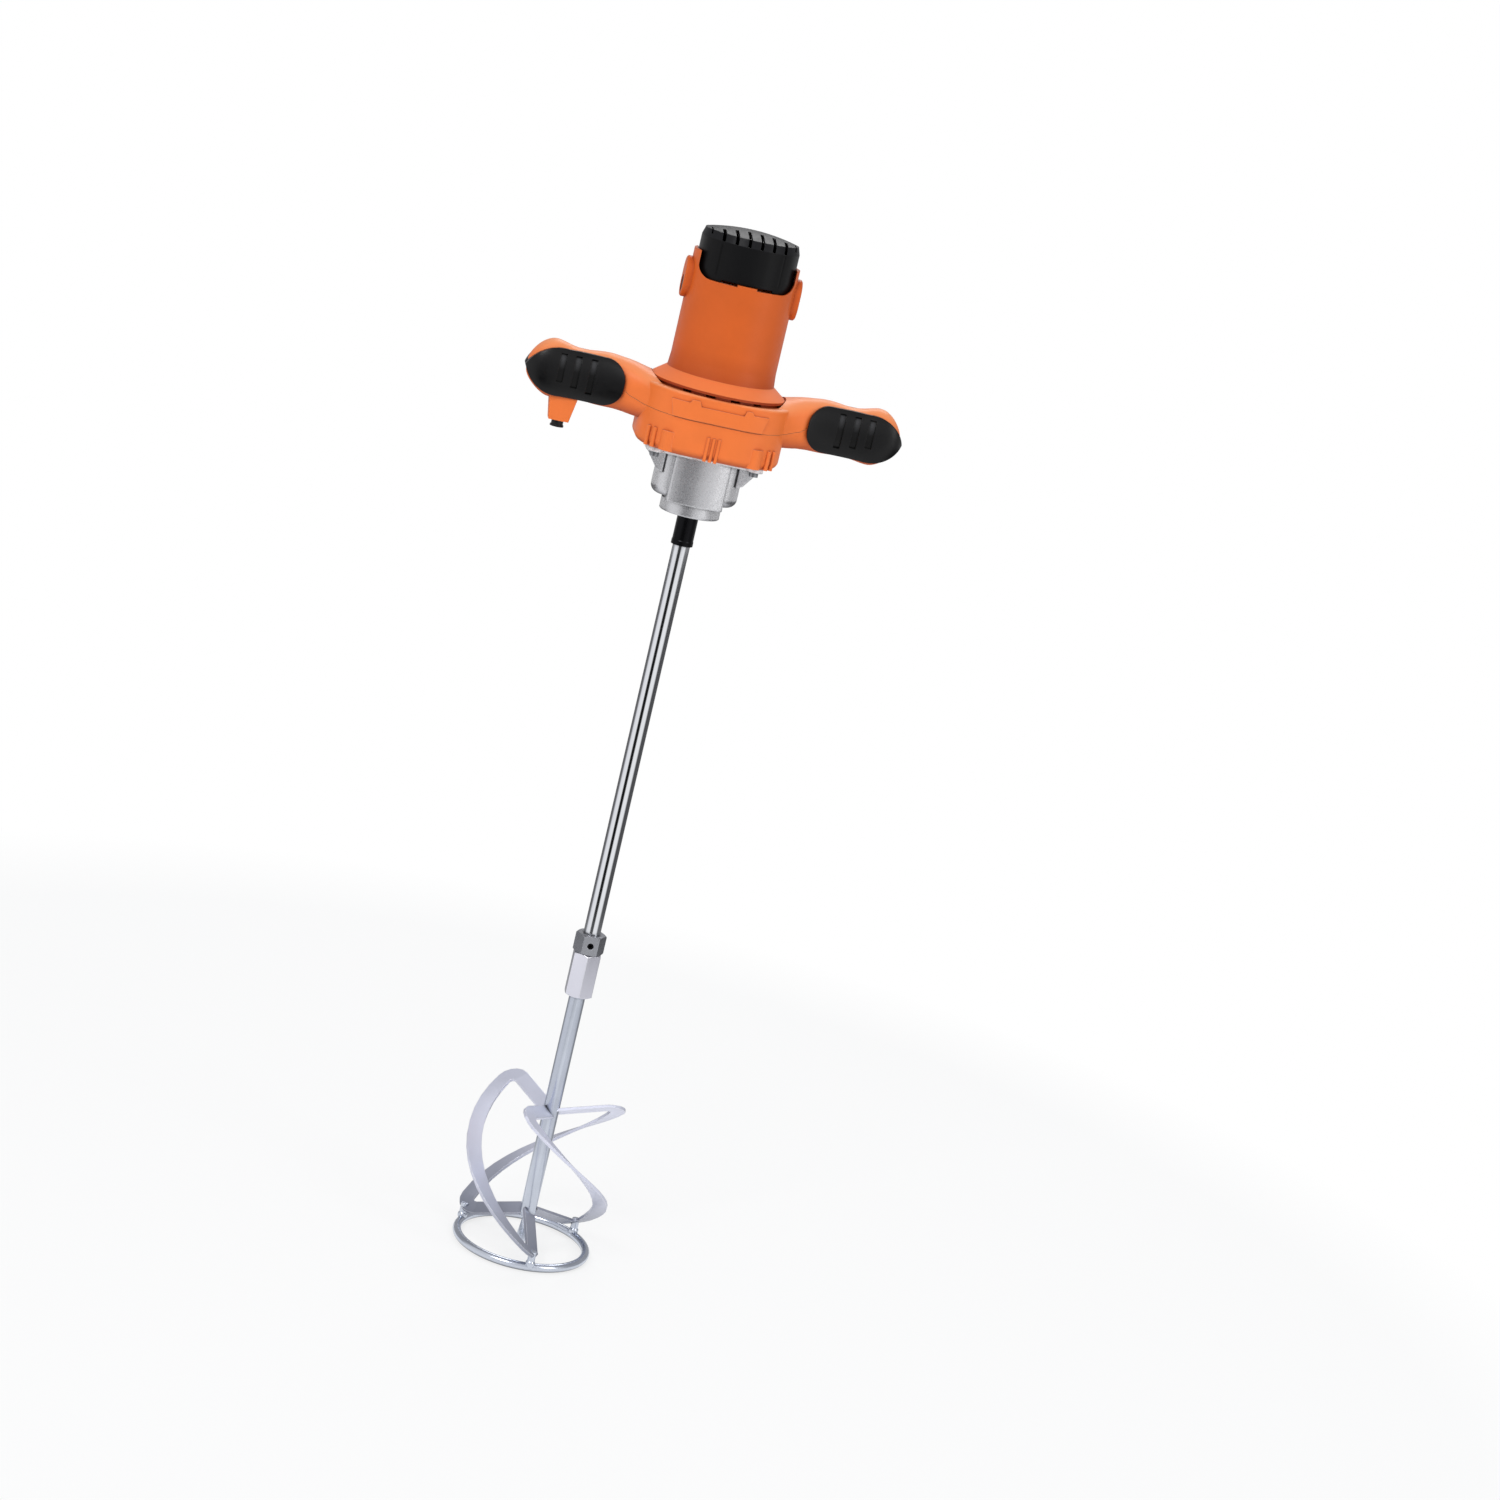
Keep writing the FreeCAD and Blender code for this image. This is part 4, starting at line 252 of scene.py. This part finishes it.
def moulded(name, base, edge_highlight, rough=(0.38, 0.5), shine=0.35, share=0.55, tone=None, top_highlight=None):
    """Moulded plastic: spark-eroded grain, faint flow clouds, a painted highlight along the edges and
    painted shade in gaps.
    The colour after the base is the edges' painted highlight and share how much of it they take. Tone may
    change the body's colour and its height by place. The last colour is a painted highlight that upward
    faces fade to; downward faces take a painted shade."""
    paint = Paint(name)
    paint.set(Specular_IOR_Level=shine)
    fine = paint.noise(MOULD_GRAIN, 2)
    height = fine
    cloud = paint.ramp(paint.noise(26, 4), 0.3, 0.7)
    body = paint.mix(cloud, scaled(base, 0.92), base)
    if tone:
        body, height = tone(paint, body, fine)
    # Painted highlight on upward faces and painted shade on downward faces
    if top_highlight:
        body = paint.mix(paint.facing_up(0.25, 0.95), body, top_highlight)
        body = paint.mix(paint.facing_up(-0.25, -0.85), body, shaded(base, 0.62, 0.5, 0.42))
    # Painted highlight along the edges
    body = paint.mix(paint.edges(MOULD_EDGE, share), body, edge_highlight)
    # Painted shade in gaps and inner corners
    paint.colour(paint.mix(paint.creases(SOFT_GAP), shaded(base, 0.46, 0.3, 0.24), body))
    smear = paint.noise(140, 5)
    paint.rough(paint.ramp(paint.maths("ADD", fine, smear), 0.7, 1.3, rough[0], rough[1]))
    paint.normal(paint.bump(height, MOULD_DEPTH, 0.45, paint.rounded(MOULD_EDGE)))
    return paint


def axis(paint, number):
    """One coordinate of the place on the part, in metres."""
    split = paint.node("ShaderNodeSeparateXYZ")
    paint.join(paint.place, split.inputs[0])
    return split.outputs[number]


def housing_tone(paint, body, fine):
    """The motor housing has a band of painted shade low down, and a painted highlight on its flare above a
    rim painted dark as shade.
    """
    z = axis(paint, 2)
    # A band of painted shade low on the housing
    low = paint.mix(paint.ramp(z, *SHADE_BAND_HEIGHTS), linear(186, 80, 26), body)
    # A painted highlight on the upward-facing flare
    flare = paint.mix(paint.ramp(z, *FLARE_HEIGHTS), linear(244, 128, 70), low)
    # The rim under the ledge painted dark as shade
    return paint.mix(paint.ramp(z, *RIM_HEIGHTS), linear(160, 58, 12), flare), fine


def cap_tone(paint, body, fine):
    """The cap has an upright groove at each side painted dark as shade, faint flutes, a painted highlight on
    the crown and a darker top.
    """
    x, z = axis(paint, 0), axis(paint, 2)
    side = paint.maths("ABSOLUTE", x, 0.0)
    from_groove = paint.maths("ABSOLUTE", paint.maths("SUBTRACT", side, CAP_GROOVE_X), 0.0)
    groove = paint.ramp(from_groove, *CAP_GROOVE_HALF, 1.0, 0.0)
    for low, high in CAP_GROOVE_ENDS:
        groove = paint.maths("MULTIPLY", groove, paint.ramp(z, low, high))
    flutes = paint.maths("SINE", paint.maths("MULTIPLY", x, 2 * math.pi / CAP_FLUTE_PITCH), 0.0)
    height = paint.maths("ADD", fine, paint.maths("MULTIPLY", flutes, 2.2))
    height = paint.maths("SUBTRACT", height, paint.maths("MULTIPLY", groove, 14.0))
    # A painted highlight on the crown
    crown = paint.mix(paint.ramp(z, *CAP_SHOULDER), body, linear(27, 27, 29))
    crown = paint.mix(paint.ramp(z, *CAP_TOP), crown, linear(11, 11, 12))
    # The grooves painted dark as shade
    return paint.mix(groove, crown, linear(6, 6, 7)), height


def groove_tone(paint, body):
    """The pads' grooves are painted black as shade, turning to a painted highlight of grey under their upper
    ends.
    """
    side, z = paint.maths("ABSOLUTE", axis(paint, 0), 0.0), axis(paint, 2)
    # Painted shade, black, low in the grooves, turning to a painted highlight of grey near their upper ends
    groove_shade_to_light = paint.mix(paint.ramp(z, *GROOVE_SHADE_TO_LIGHT), linear(2, 2, 2), linear(62, 62, 64))
    for middle, low in PAD_GROOVES:
        off = paint.maths("ABSOLUTE", paint.maths("SUBTRACT", side, middle), 0.0)
        inside = paint.ramp(off, GROOVE_HALF, GROOVE_HALF - GROOVE_SIDE)
        inside = paint.maths("MULTIPLY", inside, paint.ramp(z, low, low + GROOVE_EDGE))
        inside = paint.maths("MULTIPLY", inside, paint.ramp(z, GROOVE_TOP, GROOVE_TOP - GROOVE_EDGE))
        body = paint.mix(inside, body, groove_shade_to_light)
    return body


def rubber(name, base, shine=0.3, tone=None):
    """Soft rubber: a fine stipple, random pale dust, a painted highlight along the edges, painted shade in
    the low places and no hard shine.
    """
    paint = Paint(name)
    paint.set(Specular_IOR_Level=shine)
    dust = paint.ramp(paint.noise(60, 5), 0.35, 0.75, 0.0, 0.3)
    pale = tuple(min(1.0, 1.5 * c + 0.003) for c in base[:3]) + (1.0,)
    body = paint.mix(dust, base, pale)
    # Painted highlight along the edges
    body = paint.mix(paint.edges(RUBBER_EDGE, 0.4), body, pale)
    if tone:
        body = tone(paint, body)
    # Painted shade in gaps and creases
    paint.colour(paint.mix(paint.creases(SOFT_GAP), scaled(base, 0.1), body))
    stipple = paint.cells(RUBBER_GRAIN)
    paint.rough(paint.ramp(paint.noise(220, 4), 0.3, 0.7, 0.32, 0.42))
    paint.normal(paint.bump(stipple, RUBBER_DEPTH, 0.3, paint.rounded(RUBBER_EDGE)))
    return paint


def blade_tone(paint, body):
    """The blades' zinc takes a painted shade towards the ring."""
    z = axis(paint, 2)
    # Painted shade on the blades towards the ring
    return paint.mix(paint.ramp(z, *BLADE_SHADE_HEIGHTS), linear(142, 146, 160), body)


def flange_tone(paint, body):
    """The flange band under the handle body is near-white and less metallic than the rest of the casting."""
    z = axis(paint, 2)
    band = paint.maths("MULTIPLY", paint.ramp(z, *FLANGE_FOOT), paint.ramp(z, *FLANGE_TOP))
    paint.join(paint.ramp(band, 0.0, 1.0, 0.96, 0.3), paint.shader.inputs["Metallic"])
    return paint.mix(band, body, linear(246, 246, 247))


def metal(name, base, rough, streak=None, pits=0.0, scale=900, edge=0.0004, shade=0.85, bare=1.0,
          tone=None):
    """Metal with a grain of the given scale: streaks along one axis, or an even speckle, with painted shade
    in its gaps.
    Pits is the depth of a cast skin, edge the width of its painted edge highlight and of its softened edges,
    and shade its darker clouds.
    Bare is 1 for a clean metal, and less where an oxide skin scatters part of the light."""
    paint = Paint(name)
    paint.set(Metallic=bare)
    place = paint.stretched(*streak) if streak else paint.place
    grain = paint.noise(scale, 3, place=place)
    cloud = paint.ramp(paint.noise(38, 5), 0.3, 0.72)
    body = paint.mix(cloud, scaled(base, shade), base)
    if pits:
        body = paint.mix(paint.ramp(paint.noise(1100, 2), 0.35, 0.65), scaled(base, 0.84), body)
    if tone:
        body = tone(paint, body)
    # Painted highlight along the edges
    body = paint.mix(paint.edges(edge, 0.6), body, scaled(base, 1.3))
    # Painted shade in gaps
    paint.colour(paint.mix(paint.creases(METAL_GAP), scaled(base, 0.15), body))
    paint.rough(paint.ramp(grain, 0.3, 0.7, rough[0], rough[1]))
    height = paint.maths("ADD", grain, paint.noise(3000, 1)) if pits else grain
    paint.normal(paint.bump(height, pits or METAL_DEPTH, 0.5, paint.rounded(edge)))
    return paint


# The grain of metals drawn or turned along the axis, and of those ground across it
DRAWN = (260, 260, 9)
POLISHED = (600, 600, 6)
GROUND = (60, 60, 1400)


def moulded_materials():
    """The plastics and the carbon of the brushes."""
    # A near-black body colour, and the grey of the painted highlight along black edges
    black, edge_highlight_grey = linear(12, 12, 13), linear(34, 34, 38)
    return [
        # The colour after each plastic's base is the painted highlight along its edges; the shell's last
        # colour is a painted highlight on upward faces
        moulded("orange_shell", linear(246, 124, 56), linear(255, 178, 130), shine=0.3,
                top_highlight=linear(250, 158, 104)),
        moulded("housing_orange", linear(214, 96, 32), linear(234, 128, 76), share=0.4, shine=0.25,
                tone=housing_tone),
        moulded("black_plastic", black, edge_highlight_grey, (0.3, 0.42), 0.16),
        moulded("cap_black", linear(16, 16, 17), edge_highlight_grey, (0.34, 0.42), 0.1, tone=cap_tone),
        moulded("carbon", linear(40, 40, 42), linear(74, 74, 78), (0.5, 0.68)),
        moulded("dark_plastic", linear(48, 48, 52), linear(86, 86, 90)),
        rubber("grip_rubber", linear(6, 6, 7), 0.26, groove_tone),
        rubber("soft_rubber", linear(20, 20, 22)),
    ]


def metal_materials():
    return [
        metal("cast_aluminium", linear(218, 218, 221), (0.24, 0.34), pits=0.00008, scale=1100,
              edge=0.0022, shade=0.9, tone=flange_tone),
        metal("black_steel", linear(30, 30, 32), (0.22, 0.38), scale=1200),
        metal("chrome", linear(226, 228, 232), (0.06, 0.1), POLISHED, scale=3, shade=0.97),
        metal("zinc_steel", linear(206, 212, 224), (0.17, 0.24), DRAWN, scale=1.5, edge=0.0006, shade=0.9),
        metal("coupling_steel", linear(232, 232, 242), (0.2, 0.26), DRAWN, scale=1.5, edge=0.0008,
              shade=0.96),
        metal("blade_steel", linear(228, 230, 246), (0.3, 0.36), DRAWN, scale=1.5, edge=0.0008,
              shade=0.96, bare=0.55, tone=blade_tone),
        metal("nut_steel", linear(168, 170, 176), (0.24, 0.34), (90, 90, 400), scale=3, edge=0.001),
        metal("bare_steel", linear(178, 180, 184), (0.22, 0.36), GROUND, scale=3),
        metal("stator_steel", linear(120, 122, 126), (0.34, 0.5), (10, 10, 1800), scale=2),
        metal("copper", linear(196, 108, 62), (0.2, 0.34), (20, 20, 1600), scale=2),
        metal("brass", linear(206, 168, 92), (0.2, 0.34), scale=700),
        metal("screw_steel", linear(150, 152, 156), (0.26, 0.4), scale=900),
    ]


def build_materials():
    """Every finish, by name: most are the slots in the record."""
    return {paint.name: paint.material for paint in moulded_materials() + metal_materials()}


# The finish of each node that differs from its slot in the record
FINISH = {
    "motor_housing": "housing_orange", "motor_cap": "cap_black", "lock_nut": "nut_steel",
    "hex_coupling": "coupling_steel",
}
FINISH.update({"paddle_blade_" + str(number): "blade_steel" for number in (1, 2, 3)})


def paint_nodes(made):
    """Gives every node its finish."""
    slots = {row["node"]: row["material_slot"] for row in frame["record"]["subparts"]}
    for name, obj in nodes.items():
        obj.data.materials.clear()
        obj.data.materials.append(made[FINISH.get(name) or slots[name]])


# What metal reflects, by the angle in degrees to the right of the way back to the camera:
# the studio's walls above the horizon, and below it the floor near the paddle, the floor that
# the rod mirrors and the floor that the gear housing mirrors
WALLS = ((-180, 0.45), (-105, 0.45), (-86, 1.0), (0, 0.9), (70, 1.0), (95, 0.5), (180, 0.45))
NEAR_FLOOR = (
    (-180, 0.25), (-122, 0.2), (-98, 0.85), (-24, 0.76), (-8, 1.0), (20, 1.0), (34, 0.76), (92, 0.8),
    (118, 0.15), (180, 0.25),
)
ROD_FLOOR = (
    (-180, 0.12), (-100, 0.16), (-78, 0.9), (-34, 1.0), (-23, 0.01), (6, 0.01), (16, 1.0), (58, 1.0),
    (76, 0.08), (180, 0.12),
)
CASE_FLOOR = (
    (-180, 0.3), (-135, 1.0), (-56, 1.0), (-40, 0.5), (-20, 0.2), (12, 0.16), (32, 0.5), (50, 1.0),
    (135, 1.0), (180, 0.3),
)

# Distances from the axis, each over a soft border, where the floor turns white,
# where its bands begin, and where the rod's and the case's bands take over
WHITE_FROM = (0.25, 1.2)
BANDS_FROM = (0.16, 0.34)
ROD_BANDS_FROM = (0.86, 1.0)
CASE_BANDS_FROM = (4.0, 4.25)
LEAST_WHITE = 0.76


def bands(tree, direction, stops):
    """A grey that changes with the compass direction of a vector, seen from the camera's side."""
    yaw = math.radians(CAMERA_YAW)
    angle = tree.nodes.new("ShaderNodeMath")
    angle.operation = "ARCTAN2"
    sides = ((math.cos(yaw), -math.sin(yaw), 0), (-math.sin(yaw), -math.cos(yaw), 0))
    for side, socket in zip(sides, angle.inputs):
        dot = tree.nodes.new("ShaderNodeVectorMath")
        dot.operation = "DOT_PRODUCT"
        tree.links.new(direction, dot.inputs[0])
        dot.inputs[1].default_value = side
        tree.links.new(dot.outputs["Value"], socket)
    place = tree.nodes.new("ShaderNodeMapRange")
    place.inputs["From Min"].default_value = -math.pi
    place.inputs["From Max"].default_value = math.pi
    tree.links.new(angle.outputs[0], place.inputs["Value"])
    ramp = tree.nodes.new("ShaderNodeValToRGB")
    elements = ramp.color_ramp.elements
    for number, (degrees, value) in enumerate(stops):
        spot = (degrees + 180) / 360
        stop = elements[number] if number < 2 else elements.new(spot)
        stop.position = spot
        stop.color = (value, value, min(1.0, value * 1.03), 1)
    tree.links.new(place.outputs["Result"], ramp.inputs["Fac"])
    return ramp.outputs["Color"]


def make_floor():
    """A wide pale floor that keeps a soft shadow and fades to white away from the drill."""
    mesh = bmesh.new()
    bmesh.ops.create_circle(mesh, cap_ends=True, segments=96, radius=FLOOR_RADIUS)
    data = bpy.data.meshes.new("floor")
    mesh.to_mesh(data)
    mesh.free()
    floor = bpy.data.objects.new("floor", data)
    floor.location = (0, 0, FLOOR_Z)
    bpy.context.scene.collection.objects.link(floor)
    floor.data.materials.append(floor_paint().material)


def floor_paint():
    """Pale and matt under the light, but plain white to the camera where no shadow falls,
    and banded to what mirrors it."""
    paint = Paint("floor_paint")
    paint.set(Base_Color=(0.9, 0.9, 0.9, 1), Roughness=0.9)
    vector = paint.node("ShaderNodeVectorMath", operation="LENGTH")
    paint.join(paint.place, vector.inputs[0])
    away = vector.outputs["Value"]
    path = paint.node("ShaderNodeLightPath")
    seen = paint.maths("MAXIMUM", path.outputs["Is Camera Ray"], path.outputs["Is Glossy Ray"])
    seen = paint.maths("MAXIMUM", seen, path.outputs["Is Transmission Ray"])
    share = paint.maths("MULTIPLY", seen, paint.maths("MAXIMUM", paint.ramp(away, *WHITE_FROM), LEAST_WHITE))
    mirrored = paint.maths("MULTIPLY", paint.ramp(away, *BANDS_FROM), path.outputs["Is Glossy Ray"])
    shown = bands(paint.tree, paint.place, NEAR_FLOOR)
    for start, stops in ((ROD_BANDS_FROM, ROD_FLOOR), (CASE_BANDS_FROM, CASE_FLOOR)):
        shown = paint.mix(paint.ramp(away, *start), shown, bands(paint.tree, paint.place, stops))
    white = paint.node("ShaderNodeEmission")
    paint.join(paint.mix(mirrored, (1, 1, 1, 1), shown), white.inputs["Color"])
    blend = paint.node("ShaderNodeMixShader")
    paint.join(share, blend.inputs[0])
    paint.join(paint.shader.outputs[0], blend.inputs[1])
    paint.join(white.outputs[0], blend.inputs[2])
    paint.join(blend.outputs[0], paint.tree.nodes["Material Output"].inputs["Surface"])
    return paint


# The even light of the world, and how the walls that metal reflects dim as they rise
SOFT_LIGHT = 0.62
WALL_RISE = (0.3, 0.8)
WALL_LIGHT = (0.9, 0.75)


def make_world():
    """Even pale light, plain white behind the drill, and grey-white walls for what metal reflects."""
    world = bpy.data.worlds.new("studio")
    bpy.context.scene.world = world
    world.use_nodes = True
    tree = world.node_tree
    tree.nodes.clear()

    def lit(colour, strength):
        made = tree.nodes.new("ShaderNodeBackground")
        made.inputs["Color"].default_value = colour
        made.inputs["Strength"].default_value = strength
        return made.outputs[0]

    def either(share, first, second):
        made = tree.nodes.new("ShaderNodeMixShader")
        for source, socket in zip((share, first, second), made.inputs):
            tree.links.new(source, socket)
        return made.outputs[0]

    direction = tree.nodes.new("ShaderNodeTexCoord").outputs["Generated"]
    path = tree.nodes.new("ShaderNodeLightPath")
    soft = lit((0.95, 0.97, 1.0, 1), SOFT_LIGHT)
    height = tree.nodes.new("ShaderNodeSeparateXYZ")
    tree.links.new(direction, height.inputs[0])
    dim = tree.nodes.new("ShaderNodeMapRange")
    for key, value in zip(("From Min", "From Max", "To Min", "To Max"), WALL_RISE + WALL_LIGHT):
        dim.inputs[key].default_value = value
    tree.links.new(height.outputs["Z"], dim.inputs["Value"])
    walls = tree.nodes.new("ShaderNodeBackground")
    tree.links.new(bands(tree, direction, WALLS), walls.inputs["Color"])
    tree.links.new(dim.outputs["Result"], walls.inputs["Strength"])
    walls = either(path.outputs["Is Glossy Ray"], soft, walls.outputs[0])
    seen = either(path.outputs["Is Camera Ray"], walls, lit((1, 1, 1, 1), 1.0))
    tree.links.new(seen, tree.nodes.new("ShaderNodeOutputWorld").inputs["Surface"])


def add_lamp(name, place, target, size, power):
    """A rectangular lamp, with its size in metres and its power in watts."""
    data = bpy.data.lights.new(name, "AREA")
    data.shape = "RECTANGLE"
    data.size, data.size_y = size
    data.energy = power
    lamp = bpy.data.objects.new(name, data)
    lamp.location = place
    lamp.rotation_mode = "QUATERNION"
    lamp.rotation_quaternion = (Vector(target) - Vector(place)).to_track_quat("-Z", "Y")
    bpy.context.scene.collection.objects.link(lamp)


def make_lamps():
    add_lamp("key", (-1.5, -2.1, 1.7), (0, 0, -0.1), (1.1, 1.1), 34)
    add_lamp("fill", (1.9, -1.5, 0.7), (0, 0, -0.2), (0.8, 1.6), 12)
    add_lamp("rim", (0.5, 2.2, 1.6), (0, 0, -0.2), (1.4, 1.0), 16)


make_camera()
paint_nodes(build_materials())
make_floor()
make_world()
make_lamps()
bpy.context.scene.view_settings.view_transform = "Standard"
